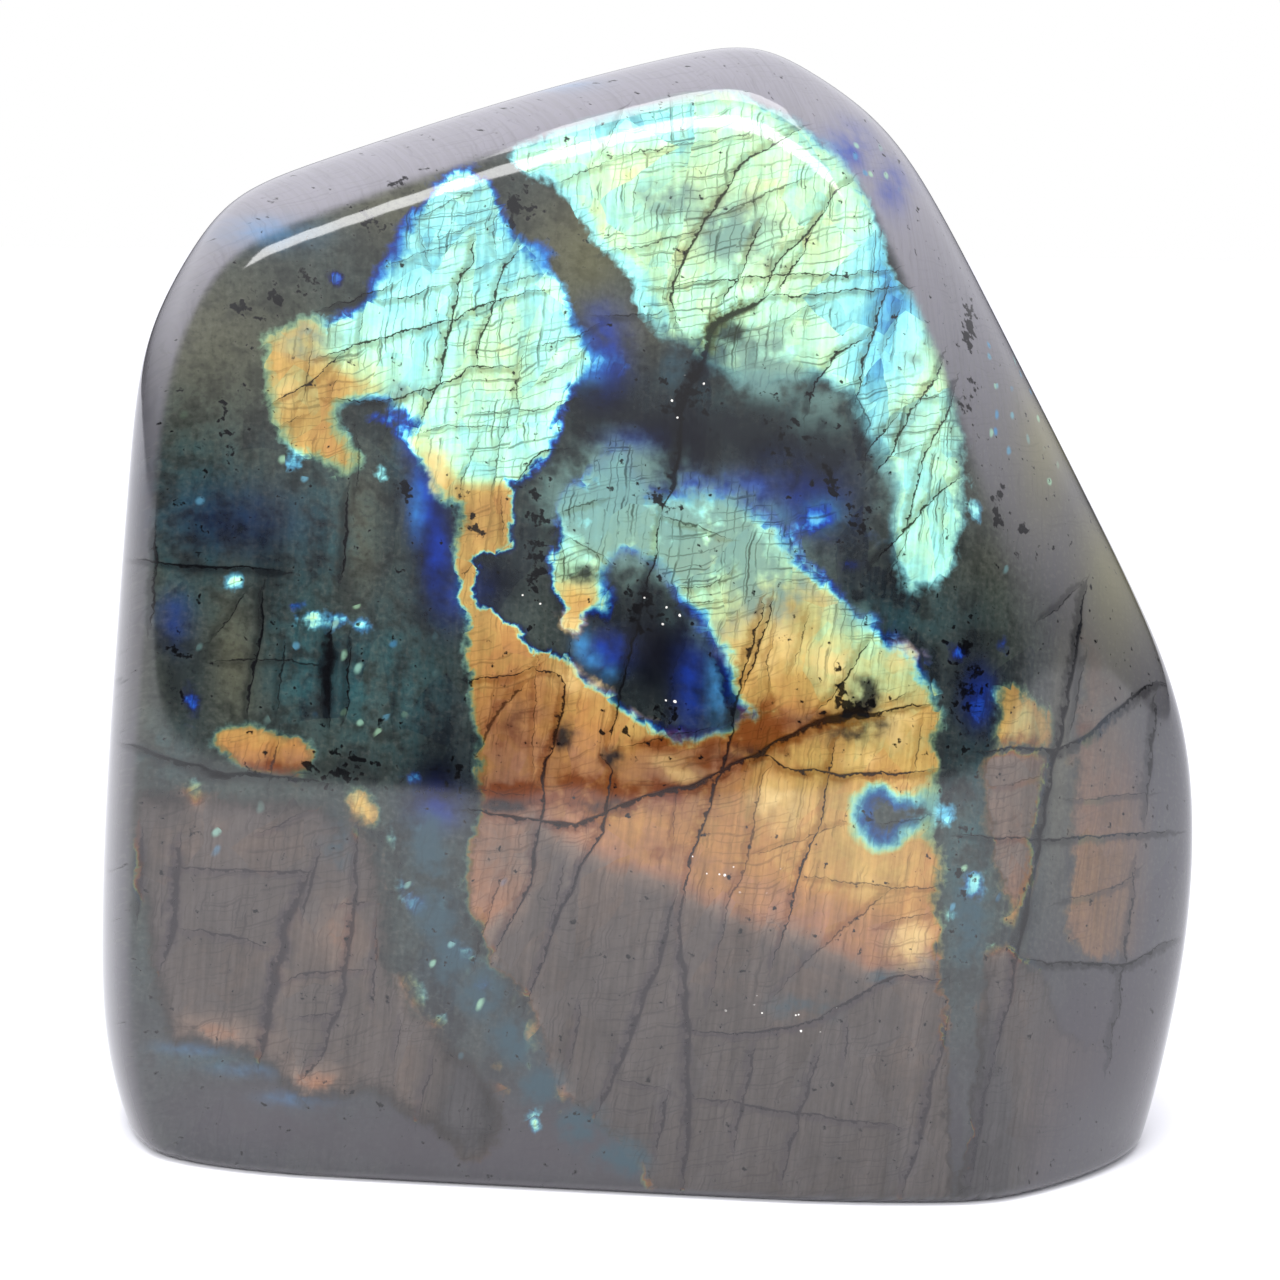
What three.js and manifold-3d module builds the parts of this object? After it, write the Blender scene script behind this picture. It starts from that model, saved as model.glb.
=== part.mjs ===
// A polished labradorite freeform: one natural stone, sawn flat underneath so that it stands,
// ground to a few broad faces and polished until the edges between them run round.
// Millimetres and degrees, +Z up, the broad front face looks along -Y.

import * as THREE from 'three';
import { mergeVertices } from 'three/addons/utils/BufferGeometryUtils.js';
import Module from 'manifold-3d';

// ---------------------------------------------------------------------------------------------
// Driving dimensions. Every ground face is measured from one point inside the stone, its heart.
// ---------------------------------------------------------------------------------------------

const HEART_HEIGHT = 64;

// The rough block that the stone is ground from: half of its width, depth and height, and the
// number of cells along each.
const BLOCK = { halfWidth: 72, halfDepth: 26.5, halfHeight: 74 };
const CELLS = { width: 34, depth: 14, height: 34 };

// How each side of the rim was held to the wheel. `lean` is how far its flats look to the front
// (minus is to the back), `reach` how far the front bevel comes in over the face, and
// `bevelLean` how far that bevel leans to the front.
const LEFT = { lean: -8, reach: 8, bevelLean: 42 };
const TOP = { lean: 0, reach: 9, bevelLean: 42 };
const SLOPE = { lean: -4, reach: 7, bevelLean: 42 };
const RIGHT = { lean: -14, reach: 13, bevelLean: 54 };
const FOOT = { lean: -10, reach: 6, bevelLean: 40 };

// The outline in the front view, clockwise from the left foot: the corners between the flats, and
// the side that the next flat belongs to. It runs on below the base, where the rough stone was
// sawn off.
const OUTLINE = [
  { x: -68, z: -7, side: FOOT },
  { x: -74, z: 8, side: LEFT },
  { x: -74, z: 32, side: LEFT },
  { x: -68, z: 84, side: LEFT },
  { x: -65, z: 109, side: TOP },
  { x: -54, z: 126, side: TOP },
  { x: -4, z: 143, side: TOP },
  { x: 13, z: 146, side: TOP },
  { x: 29, z: 136, side: SLOPE },
  { x: 37, z: 122, side: SLOPE },
  { x: 59, z: 80, side: RIGHT },
  { x: 68, z: 62, side: RIGHT },
  { x: 72, z: 40, side: RIGHT },
  { x: 72, z: 12, side: FOOT },
  { x: 68, z: -6, side: FOOT },
  { x: 0, z: -60, side: FOOT },
];

// What the flats were left proud of that outline, for polishing to take off as it rounds them.
const POLISHED_OFF = 3;

// The same back edge is taken off all the way round.
const BACK_BEVEL = { reach: 13, lean: 42 };

// The broad faces. `turn` swings a face towards +X, `tilt` lets it look up, and (x, y) is a point
// that it passes through at the height of the heart.
const FRONT_FACES = [
  { turn: 0, tilt: 0, x: 0, y: -26 },
  { turn: 0, tilt: 7, x: 0, y: -25.5 },
  { turn: -11, tilt: 2, x: -35, y: -26 },
  { turn: 8, tilt: 1, x: 20, y: -26 },
  { turn: 30, tilt: 2, x: 47, y: -22 },
];
const BACK_FACES = [
  { turn: 180, tilt: 0, x: 0, y: 27 },
  { turn: 180, tilt: 9, x: 0, y: 26.5 },
  { turn: 192, tilt: 3, x: -35, y: 26 },
  { turn: 168, tilt: 3, x: 35, y: 26 },
];

// How sharp polishing left the edges. A low number runs two faces into each other over many
// millimetres, a high one leaves a crease.
const SHARPNESS = { flats: 40, rimEdges: 12, frontCrease: 30 };

// ---------------------------------------------------------------------------------------------
// Faces as half-spaces: an outward normal and a distance from the heart.
// ---------------------------------------------------------------------------------------------

const radians = THREE.MathUtils.degToRad;

const rimNormal = (at, lean) =>
  new THREE.Vector3(
    Math.cos(radians(at)) * Math.cos(radians(lean)),
    -Math.sin(radians(lean)),
    Math.sin(radians(at)) * Math.cos(radians(lean)),
  );

// The flat from each corner of the outline to the next: the direction it looks in, in degrees
// (0 is +X, 90 is up), and its distance out from the heart.
const rimFlats = OUTLINE.map((corner, index) => {
  const next = OUTLINE[(index + 1) % OUTLINE.length];
  const outward = new THREE.Vector2(corner.z - next.z, next.x - corner.x).normalize();
  const out = outward.dot(new THREE.Vector2(corner.x, corner.z - HEART_HEIGHT)) + POLISHED_OFF;
  return { at: THREE.MathUtils.radToDeg(outward.angle()), out, side: corner.side };
});

const broadFace = ({ turn, tilt, x, y }) => {
  const normal = new THREE.Vector3(
    Math.sin(radians(turn)) * Math.cos(radians(tilt)),
    -Math.cos(radians(turn)) * Math.cos(radians(tilt)),
    Math.sin(radians(tilt)),
  );
  return { normal, distance: normal.dot(new THREE.Vector3(x, y, 0)) };
};

// Where a line along Y through (x, z) meets the innermost of the faces.
const depthAt = (faces, x, z) => {
  const depths = faces.map(({ normal, distance }) => (distance - normal.x * x - normal.z * z) / normal.y);
  return depths[0] < 0 ? Math.max(...depths) : Math.min(...depths);
};

// A bevel passes through the line that runs `reach` inside the rim on the broad faces.
const bevelFace = (faces, at, out, reach, lean) => {
  const x = Math.cos(radians(at)) * (out - reach);
  const z = Math.sin(radians(at)) * (out - reach);
  const normal = rimNormal(at, lean);
  return { normal, distance: normal.dot(new THREE.Vector3(x, depthAt(faces, x, z), z)) };
};

const front = FRONT_FACES.map(broadFace);
const back = BACK_FACES.map(broadFace);
const rim = rimFlats.map(({ at, out, side }) => ({ normal: rimNormal(at, side.lean), distance: out }));
const frontBevels = rimFlats.map(({ at, out, side }) =>
  bevelFace(front, at, out, side.reach, side.bevelLean));
const backBevels = rimFlats.map(({ at, out }) =>
  bevelFace(back, at, out, BACK_BEVEL.reach, -BACK_BEVEL.lean));

// ---------------------------------------------------------------------------------------------
// The worn shape. A gauge gives, for a direction from the heart, one over the distance to the
// surface, and a power mean of gauges rounds the edges between them.
// ---------------------------------------------------------------------------------------------

const worn = (sharpness, ...gauges) => (direction) => {
  const sum = gauges.reduce((total, gauge) => total + gauge(direction) ** sharpness, 0);
  return sum ** (1 / sharpness);
};

const ground = (faces) =>
  worn(SHARPNESS.flats, ...faces.map(({ normal, distance }) => (direction) =>
    Math.max(0, direction.dot(normal)) / distance));

const sides = worn(
  SHARPNESS.rimEdges,
  ground(rim),
  ground(frontBevels),
  ground(backBevels),
  ground(back),
);
const stoneGauge = worn(SHARPNESS.frontCrease, sides, ground(front));

// ---------------------------------------------------------------------------------------------
// Solids: the ground stone, and the saw cut that leaves its flat base at z = 0.
// ---------------------------------------------------------------------------------------------

const sharedCorners = (geometry) => {
  geometry.deleteAttribute('normal');
  geometry.deleteAttribute('uv');
  return mergeVertices(geometry);
};

const groundStone = () => {
  const block = sharedCorners(new THREE.BoxGeometry(
    2 * BLOCK.halfWidth, 2 * BLOCK.halfDepth, 2 * BLOCK.halfHeight,
    CELLS.width, CELLS.depth, CELLS.height,
  ));
  const position = block.attributes.position;
  const point = new THREE.Vector3();
  for (let index = 0; index < position.count; index += 1) {
    point.fromBufferAttribute(position, index).normalize();
    point.divideScalar(stoneGauge(point));
    point.z += HEART_HEIGHT;
    position.setXYZ(index, point.x, point.y, point.z);
  }
  return block;
};

const sawnAway = () => {
  const slabSize = 4 * BLOCK.halfWidth;
  const slab = new THREE.BoxGeometry(slabSize, slabSize, slabSize);
  return sharedCorners(slab.translate(0, 0, -slabSize / 2));
};

const wasm = await Module();
wasm.setup();

const toSolid = (geometry) => new wasm.Manifold(new wasm.Mesh({
  numProp: 3,
  vertProperties: new Float32Array(geometry.attributes.position.array),
  triVerts: new Uint32Array(geometry.index.array),
}));

const toGeometry = (solid) => {
  const { vertProperties, triVerts } = solid.getMesh();
  const geometry = new THREE.BufferGeometry();
  geometry.setAttribute('position', new THREE.BufferAttribute(vertProperties, 3));
  geometry.setIndex(new THREE.BufferAttribute(triVerts, 1));
  return geometry;
};

// The origin is put under the middle of the stone's box.
const centred = (geometry) => {
  geometry.computeBoundingBox();
  const middle = geometry.boundingBox.getCenter(new THREE.Vector3());
  return geometry.translate(-middle.x, -middle.y, 0);
};

const stoneGeometry = centred(toGeometry(toSolid(groundStone()).subtract(toSolid(sawnAway()))));
stoneGeometry.computeVertexNormals();

const polishedLabradorite = new THREE.MeshStandardMaterial({
  color: '#5a5350',
  roughness: 0.1,
  metalness: 0,
  flatShading: true,
});

const stone = new THREE.Mesh(stoneGeometry, polishedLabradorite);
stone.name = 'labradorite_stone';

const model = new THREE.Group();
model.add(stone);

export default model;
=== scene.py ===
# A polished labradorite standing on its sawn base. Metres, +Z up; the face that shows its colour
# looks along -Y.

import math

import bmesh
import bpy
import numpy as np
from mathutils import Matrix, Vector


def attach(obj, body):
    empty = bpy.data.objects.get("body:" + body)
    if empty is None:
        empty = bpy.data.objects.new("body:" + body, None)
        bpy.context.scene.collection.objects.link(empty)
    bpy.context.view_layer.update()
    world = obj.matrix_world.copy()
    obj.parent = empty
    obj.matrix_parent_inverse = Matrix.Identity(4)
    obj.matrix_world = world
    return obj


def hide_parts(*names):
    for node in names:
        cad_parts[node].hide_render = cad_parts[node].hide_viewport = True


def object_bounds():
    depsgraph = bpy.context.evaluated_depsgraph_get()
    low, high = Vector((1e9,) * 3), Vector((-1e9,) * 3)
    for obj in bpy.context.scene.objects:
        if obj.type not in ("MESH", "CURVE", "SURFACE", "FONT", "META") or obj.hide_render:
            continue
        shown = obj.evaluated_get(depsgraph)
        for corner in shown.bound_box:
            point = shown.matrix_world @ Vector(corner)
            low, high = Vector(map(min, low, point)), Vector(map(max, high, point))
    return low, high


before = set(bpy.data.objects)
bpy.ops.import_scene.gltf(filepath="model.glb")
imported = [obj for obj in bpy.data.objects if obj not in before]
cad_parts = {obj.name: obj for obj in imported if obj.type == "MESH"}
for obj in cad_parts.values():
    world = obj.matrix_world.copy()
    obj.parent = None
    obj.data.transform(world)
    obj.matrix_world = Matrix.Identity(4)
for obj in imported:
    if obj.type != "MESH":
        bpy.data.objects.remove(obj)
cad_low, cad_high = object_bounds()

# ---------------------------------------------------------------------------------------------
# The ground stone: one block of feldspar, sawn flat underneath, ground on a wheel to flats round
# its rim and a few broad faces, then polished until the edges ran round. Every direction from
# its heart is cut off by the flats, and a power mean of them is what polishing leaves.
# ---------------------------------------------------------------------------------------------

MM = 0.001
HEART_HEIGHT = 64 * MM
POLISHED_OFF = 3 * MM
HAND_WAVINESS = 0.25 * MM
WAVE_SEED, WAVES_ROUND = 4.0, 2.2

# lean of a side's flats to the front, reach of its front bevel, lean of that bevel
LEFT = (-8, 8 * MM, 42)
TOP = (0, 9 * MM, 42)
SLOPE = (-4, 7 * MM, 42)
RIGHT = (-14, 13 * MM, 54)
FOOT = (-10, 6 * MM, 40)
BACK_BEVEL = (13 * MM, -42)

# the outline's corners in millimetres, clockwise from the left foot, before they were rounded
OUTLINE = [
    (-68, -7, FOOT), (-74, 8, LEFT), (-74, 32, LEFT), (-68, 84, LEFT),
    (-65, 109, TOP), (-54, 126, TOP), (-4, 143, TOP), (13, 146, TOP),
    (29, 136, SLOPE), (37, 122, SLOPE), (59, 80, RIGHT), (68, 62, RIGHT),
    (72, 40, RIGHT), (72, 12, FOOT), (68, -6, FOOT), (0, -60, FOOT),
]

# turn and tilt in degrees, and a point in millimetres that the face passes through
FRONT_FACES = [(0, 0, 0, -26), (0, 7, 0, -25.5), (-11, 2, -35, -26), (8, 1, 20, -26), (30, 2, 47, -22)]
BACK_FACES = [(180, 0, 0, 27), (180, 9, 0, 26.5), (192, 3, -35, 26), (168, 3, 35, 26)]
FLATS_SHARP, RIM_SHARP, CREASE_SHARP = 40, 12, 30

# gauges are counted in this length, which keeps them near 1, because they are raised to powers
GAUGE_LENGTH = 50 * MM


def rim_normal(at, lean):
    return Vector((math.cos(at) * math.cos(lean), -math.sin(lean), math.sin(at) * math.cos(lean)))


def broad_face(turn, tilt, x, y):
    turn, tilt = math.radians(turn), math.radians(tilt)
    normal = Vector((math.sin(turn) * math.cos(tilt), -math.cos(turn) * math.cos(tilt), math.sin(tilt)))
    return normal, normal.dot(Vector((x * MM, y * MM, 0)))


def bevel_face(faces, at, out, reach, lean):
    x, z = math.cos(at) * (out - reach), math.sin(at) * (out - reach)
    depths = [(distance - normal.x * x - normal.z * z) / normal.y for normal, distance in faces]
    innermost = max(depths) if depths[0] < 0 else min(depths)
    normal = rim_normal(at, math.radians(lean))
    return normal, normal.dot(Vector((x, innermost, z)))


front_faces = [broad_face(*face) for face in FRONT_FACES]
back_faces = [broad_face(*face) for face in BACK_FACES]
rim, front_bevels, back_bevels = [], [], []
for (x, z, side), (next_x, next_z, _) in zip(OUTLINE, OUTLINE[1:] + OUTLINE[:1]):
    lean, reach, bevel_lean = side
    at = math.atan2(next_x - x, z - next_z)
    out = math.cos(at) * x * MM + math.sin(at) * (z * MM - HEART_HEIGHT) + POLISHED_OFF
    rim.append((rim_normal(at, math.radians(lean)), out))
    front_bevels.append(bevel_face(front_faces, at, out, reach, bevel_lean))
    back_bevels.append(bevel_face(back_faces, at, out, *BACK_BEVEL))


def add(tree, kind, *inputs, out=0, named={}, stops=(), **settings):
    """Adds a node, sets it, feeds its inputs (None skips one) and gives an output, or all of them."""
    node = tree.nodes.new(kind if "Node" in kind else "ShaderNode" + kind)
    for name, value in settings.items():
        setattr(node, name, value)
    for key, value in [*enumerate(inputs), *named.items()]:
        if isinstance(value, bpy.types.NodeSocket):
            tree.links.new(value, node.inputs[key])
        elif value is not None:
            node.inputs[key].default_value = value
    for place, _ in stops[1:-1]:
        node.color_ramp.elements.new(place)
    for index, (_, colour) in enumerate(stops):
        node.color_ramp.elements[index].color = colour
    return node.outputs if out is None else node.outputs[out]


TIMES, PLUS, LARGER = {"operation": "MULTIPLY"}, {"operation": "ADD"}, {"operation": "MAXIMUM"}
TIMES_PLUS = {"operation": "MULTIPLY_ADD"}

grind = bpy.data.node_groups.new("grind to flats", "GeometryNodeTree")
for name, kind in (("Heart Height", "Float"), ("Hand Waviness", "Float"), ("Wave Seed", "Float"),
                   ("Stone", "Material")):
    grind.interface.new_socket(name, in_out="INPUT", socket_type="NodeSocket" + kind)
grind.interface.new_socket("Geometry", in_out="OUTPUT", socket_type="NodeSocketGeometry")
heart_height, waviness, wave_seed, finish, _ = add(grind, "NodeGroupInput", out=None)

# the block's proportions, and its corners each way, which come to lie about 0.9 mm apart
BLOCK_SHAPE, BLOCK_CORNERS = (1, 0.37, 1), (160, 56, 160)
block = add(grind, "GeometryNodeMeshCube", BLOCK_SHAPE, *BLOCK_CORNERS)
direction = add(grind, "VectorMath", add(grind, "GeometryNodeInputPosition"), operation="NORMALIZE")


def power_mean(sharpness, gauges):
    """The greatest of the gauges, rounded over where they meet, and less so at high sharpness."""
    total = 0.0
    for gauge in gauges:
        total = add(grind, "Math", add(grind, "Math", gauge, sharpness, operation="POWER"), total, **PLUS)
    return add(grind, "Math", total, 1 / sharpness, operation="POWER")


def ground(faces):
    gauges = []
    for normal, distance in faces:
        towards = add(grind, "VectorMath", direction, normal * (GAUGE_LENGTH / distance),
                      out="Value", operation="DOT_PRODUCT")
        gauges.append(add(grind, "Math", towards, 0.0, **LARGER))
    return power_mean(FLATS_SHARP, gauges)


sides = power_mean(RIM_SHARP, [ground(rim), ground(front_bevels), ground(back_bevels), ground(back_faces)])
gauge = power_mean(CREASE_SHARP, [sides, ground(front_faces)])
radius = add(grind, "Math", GAUGE_LENGTH, gauge, operation="DIVIDE")
wave = add(grind, "TexNoise", direction, wave_seed, WAVES_ROUND, 1.0, noise_dimensions="4D")
wave = add(grind, "Math", wave, -0.5, **PLUS)
radius = add(grind, "Math", wave, waviness, radius, **TIMES_PLUS)
spot = add(grind, "VectorMath", direction, named={"Scale": radius}, operation="SCALE")
spot = add(grind, "VectorMath", spot, add(grind, "CombineXYZ", 0.0, 0.0, heart_height), **PLUS)
worn = add(grind, "GeometryNodeSetPosition", block, None, spot)
worn = add(grind, "GeometryNodeRealizeInstances", worn)
worn = add(grind, "GeometryNodeSetMaterial", worn, None, finish)
add(grind, "NodeGroupOutput", worn, out=None)

labradorite = bpy.data.materials.new("polished labradorite")
rough_block = bpy.data.objects.new("rough_block", bpy.data.meshes.new("rough_block"))
bpy.context.collection.objects.link(rough_block)
grinding = rough_block.modifiers.new("grind", "NODES")
grinding.node_group = grind
sizes = {"Heart Height": HEART_HEIGHT, "Hand Waviness": HAND_WAVINESS, "Wave Seed": WAVE_SEED,
         "Stone": labradorite}
for item in grind.interface.items_tree:
    if item.name in sizes:
        grinding[item.identifier] = sizes[item.name]
stone_mesh = bpy.data.meshes.new_from_object(
    rough_block.evaluated_get(bpy.context.evaluated_depsgraph_get()))
rough_block.modifiers.remove(grinding)
bpy.data.objects.remove(rough_block)

# the saw cut underneath
MERGED_WITHIN = 0.001 * MM
EASED_EDGE = 1.6 * MM
shape = bmesh.new()
shape.from_mesh(stone_mesh)
bmesh.ops.remove_doubles(shape, verts=shape.verts, dist=MERGED_WITHIN)
cut = bmesh.ops.bisect_plane(shape, geom=shape.verts[:] + shape.edges[:] + shape.faces[:],
                             plane_co=(0, 0, 0), plane_no=(0, 0, -1), clear_outer=True)
saw_line = [item for item in cut["geom_cut"] if isinstance(item, bmesh.types.BMEdge)]
bmesh.ops.contextual_create(shape, geom=saw_line)
bmesh.ops.triangulate(shape, faces=[face for face in shape.faces if len(face.verts) > 4])
# the sawn edge is eased by hand, which leaves a thin line of shade under it
for vert in shape.verts:
    pulled_in = EASED_EDGE * max(0, 1 - vert.co.z / EASED_EDGE) ** 2
    vert.co.x *= 1 - pulled_in / cad_high[0]
    vert.co.y *= 1 - pulled_in / cad_high[1]
bmesh.ops.recalc_face_normals(shape, faces=shape.faces)
low = Vector([min(vert.co[axis] for vert in shape.verts) for axis in range(3)])
high = Vector([max(vert.co[axis] for vert in shape.verts) for axis in range(3)])
bmesh.ops.translate(shape, verts=shape.verts, vec=(-(low.x + high.x) / 2, -(low.y + high.y) / 2, 0))
# only the sawn face is left flat to the light
for face in shape.faces:
    face.smooth = face.normal.z > -0.99
for edge in shape.edges:
    edge.smooth = all(face.smooth for face in edge.link_faces)
shape.to_mesh(stone_mesh)
shape.free()
stone_mesh.name = "polished_stone"
stone = bpy.data.objects.new("polished_stone", stone_mesh)
bpy.context.collection.objects.link(stone)

# ---------------------------------------------------------------------------------------------
# The colour in the stone. Feldspar lamellae throw back one colour by their thickness, called its
# order here: blue 0.2, cyan 0.4, green 0.5, gold 0.65, copper 0.8, mauve 1. Each zone is a
# crystal that thins out at its rim. Millimetres on the face, x to the right and z up.
# ---------------------------------------------------------------------------------------------

# order at the top, at the bottom and at the very rim, width of the rim, and the outline
ZONES = {
    "crest": (0.44, 0.46, 0.20, 1.2, [
        (-17, 129), (-13.5, 126), (-12, 122), (-9, 119), (-6, 115), (-4, 111), (2, 106), (-3, 103.5),
        (-6, 100), (-6.5, 96), (-9, 92), (-14, 90), (-19, 89), (-22.5, 92), (-24, 97), (-26, 100),
        (-33, 101), (-37, 107), (-34, 110.5), (-30.5, 113), (-29, 117), (-26, 121), (-23, 125), (-20, 128)]),
    "crest foot": (0.56, 0.70, 0.40, 1.2, [
        (-25, 97), (-20, 96), (-17, 93), (-12, 91), (-13, 88.5), (-20, 88), (-23, 92)]),
    "ear": (0.62, 0.68, 0.50, 1.2, [
        (-42, 108.5), (-36, 111), (-33, 107), (-27, 103), (-29, 100.5), (-33, 100), (-33, 97.5), (-31, 94),
        (-32, 91.5), (-36, 93), (-41, 96), (-42.5, 100), (-43, 105)]),
    "tooth": (0.72, 0.68, 0.46, 1.0, [
        (-18, 91), (-12.5, 90), (-12, 87), (-12, 83), (-15.5, 82), (-16, 79), (-14, 76.5), (-19, 76),
        (-19.5, 80), (-19.5, 86)]),
    "crown": (0.49, 0.45, 0.40, 1.0, [
        (-12, 129.5), (-8, 133.5), (0, 138), (8, 139), (15.5, 138), (22, 135), (28, 130), (31.5, 124),
        (33, 118), (37.5, 112), (40, 107), (42, 100), (42.5, 93), (42, 84), (39, 79), (35, 78), (33.5, 85),
        (33, 91), (30.5, 96), (28.5, 101), (25, 103.5), (22, 103), (17, 102), (13, 104), (9, 107), (5, 110),
        (3, 113), (2.5, 116), (-2, 120), (-4, 123), (-6, 125.5)]),
    "middle": (0.40, 0.62, 0.16, 2.0, [
        (1, 96.5), (5, 92), (10, 93), (15, 92), (19.5, 88), (22.5, 84), (26, 81), (30, 76.5), (33, 74),
        (36, 73), (38.5, 71), (38, 64), (24, 62), (14, 64), (12.5, 70), (9, 75), (5, 80.5), (1, 81),
        (0.5, 74), (-5, 72), (-7.5, 78), (-7.5, 86), (-6, 91), (-3, 93.5)]),
    "sheet": (0.66, 0.84, 0.46, 1.0, [
        (-19, 78), (-16, 77), (-12, 73.5), (-6, 70), (-1, 66.5), (4, 62.5), (9, 60.5), (14, 62), (24, 66),
        (34, 68), (39, 68), (40, 60), (40, 50), (40.5, 40), (41, 30), (42, 18), (40, -6), (7, -6), (4, 4),
        (-2, 9), (-7, 14), (-9, 20), (-11, 25), (-16, 31), (-18, 36), (-19, 41), (-18, 46), (-17, 52),
        (-17.5, 60), (-18.5, 70)]),
    "shoulder": (0.86, 0.80, 0.62, 0.8, [
        (57, 80), (64, 79), (70, 74), (73, 62), (74, 48), (73, 36), (61, 34), (56, 36), (56, 44), (56, 60),
        (57, 70)]),
    "chip": (0.70, 0.66, 0.50, 1.0, [
        (47, 67.5), (49, 68), (51, 66.5), (53.5, 64.5), (53.5, 60.5), (50, 60), (46.5, 60.5), (46.5, 64)]),
    "strip": (0.94, 0.90, 0.68, 0.8, [
        (46, 58.5), (52.5, 59), (52.5, 50), (51.5, 42), (49.5, 37.5), (48, 42), (46, 48), (45.5, 54)]),
    "flame": (0.66, 0.80, 0.45, 1.0, [
        (-51, 57.5), (-49.5, 59.5), (-46, 60.5), (-43.5, 60), (-38, 58), (-38, 53.5), (-43, 53), (-46, 54),
        (-49, 55.5)]),
    "quilt": (1.06, 1.00, 1.06, 3.0, [
        (-62, 50), (-52, 51), (-44, 51), (-36, 50), (-30, 45), (-28, 36), (-27, 28), (-22, 21), (-17, 17),
        (-14, 11), (-15, 6), (-19, 3), (-22, 6), (-27, 9), (-32, 12), (-36, 10), (-40, 10), (-42, 12),
        (-46, 15), (-54, 17), (-58, 18), (-60, 30)]),
    "apron": (1.02, 1.00, 1.00, 1.5, [
        (46, 33), (52, 33), (57, 24), (66, 22), (70, 12), (68, -6), (44, -6), (45, 12)]),
    "drop": (0.60, 0.66, 0.45, 0.8, [(-33.5, 52), (-31, 51.5), (-29, 47.5), (-30, 46), (-32, 48)]),
}
# small loose crystals: place, half width, half height, order
SPOTS = [
    (-53, 50, 1.2, 2.2, 0.42), (-50.5, 47, 1.5, 1.5, 0.30), (-47.5, 78, 0.9, 0.9, 0.48),
    (-39, 93.5, 1.2, 1.6, 0.44), (-39, 90.5, 0.5, 0.5, 0.48), (-28.5, 92, 0.6, 0.6, 0.52),
    (-38, 73.5, 1.1, 0.8, 0.56), (-34.5, 73.5, 1.5, 0.9, 0.42), (-31, 73, 1.2, 0.8, 0.43),
    (-53, 62.5, 1.0, 1.8, 0.24), (-39.5, 75, 0.9, 0.7, 0.28), (-33.5, 115.5, 0.9, 0.9, 0.22),
    (-28.5, 98.5, 2.0, 1.2, 0.30), (-26, 97, 1.2, 1.0, 0.28), (-9, 118, 2.0, 2.0, 0.30),
    (-32, 50, 1.4, 2.4, 0.62), (-28, 46, 0.8, 1.4, 0.50), (-26.5, 39.5, 1.4, 1.6, 0.40),
    (-24.5, 37.5, 1.4, 1.2, 0.28), (-21.5, 37.5, 0.7, 0.7, 0.52), (-26.5, 27.5, 0.8, 1.8, 0.58),
    (-24.5, 25, 1.2, 1.8, 0.46), (-22, 22.5, 1.0, 1.0, 0.42), (-25, 53.5, 1.0, 0.6, 0.34),
    (-19, 31.5, 1.6, 1.0, 0.40), (-16.5, 27, 1.2, 1.0, 0.20), (-10.5, 21, 1.0, 3.0, 0.36),
    (-6.5, 13.5, 1.0, 1.8, 0.38), (-10, 9.5, 1.0, 1.6, 0.26), (-15, 16.5, 1.0, 0.8, 0.54),
    (-14, 13.5, 1.2, 0.9, 0.56), (-18, 5, 2.0, 1.6, 0.80), (25, 87.5, 2.2, 1.8, 0.30),
    (27, 85, 1.4, 0.8, 0.24), (21.5, 85, 0.8, 1.0, 0.36), (17.5, 104, 0.6, 0.5, 0.30),
    (31.5, 85.5, 1.0, 0.9, 0.36), (30.5, 75, 2.4, 1.2, 0.31), (28.5, 82, 1.2, 0.8, 0.24),
    (43.5, 88.5, 0.7, 1.0, 0.42), (40.5, 51.5, 1.1, 1.3, 0.42), (44.5, 42.5, 1.2, 1.6, 0.38),
    (44.5, 65, 1.4, 2.0, 0.19), (42, 71.5, 1.0, 0.8, 0.23), (47.5, 73, 1.0, 0.8, 0.28),
    (42, 38.5, 0.6, 0.6, 0.46), (47, 35, 0.7, 0.5, 0.40), (46, 27, 0.5, 0.5, 0.60),
    (49.5, 39.5, 1.3, 1.8, 0.60), (24, 134, 1.4, 1.2, 0.24), (26, 130.5, 0.9, 0.7, 0.34),
    (-5.5, 78, 1.0, 0.9, 0.58), (-1.5, 77.5, 1.8, 1.4, 0.66),
]
# dark islands in the zones: order at the edge, width of the rim round each, and the outline
ISLANDS = {
    "eye": (0.15, 2.8, [
        (1, 80.5), (5.5, 80.5), (7, 77), (9.5, 73.5), (11.5, 70), (12, 65), (11, 63.5), (9.5, 63.5), (8, 61),
        (6, 63.5), (3, 65), (0, 67.5), (-3.5, 70), (-4, 72), (-2.5, 74), (0.5, 74.5), (0.5, 77.5)]),
    "branch": (0.14, 1.2, [
        (-15.5, 80.5), (-11, 80.5), (-10, 86), (-9.5, 92), (-7.5, 92), (-8, 80), (-7, 75.5), (-6, 71.5),
        (-9, 71), (-13, 75), (-16.5, 77)]),
    "star": (0.25, 4.0, [
        (31.5, 51), (33, 53), (34.5, 51.9), (38, 52), (38, 51.2), (35, 50.4), (33.5, 48.8), (32, 49.8)]),
}
# where the order moves on, over a soft line: how far, the softness, and the outline
FOLDS = {
    "dusk": (0.20, 5.0, [
        (-10, 49), (-6, 46), (2, 43), (8, 41), (15, 37.5), (22, 35.5), (28, 33), (33, 30.5), (46, 30.5),
        (46, -10), (-20, -10), (-16, 30), (-12, 36), (-10, 42)]),
    "blush": (0.06, 3.0, [(-20, 50), (-4, 50), (14, 44), (42, 32), (44, -10), (-20, -10)]),
}
CORNERS_PER_SPAN = 4
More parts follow.
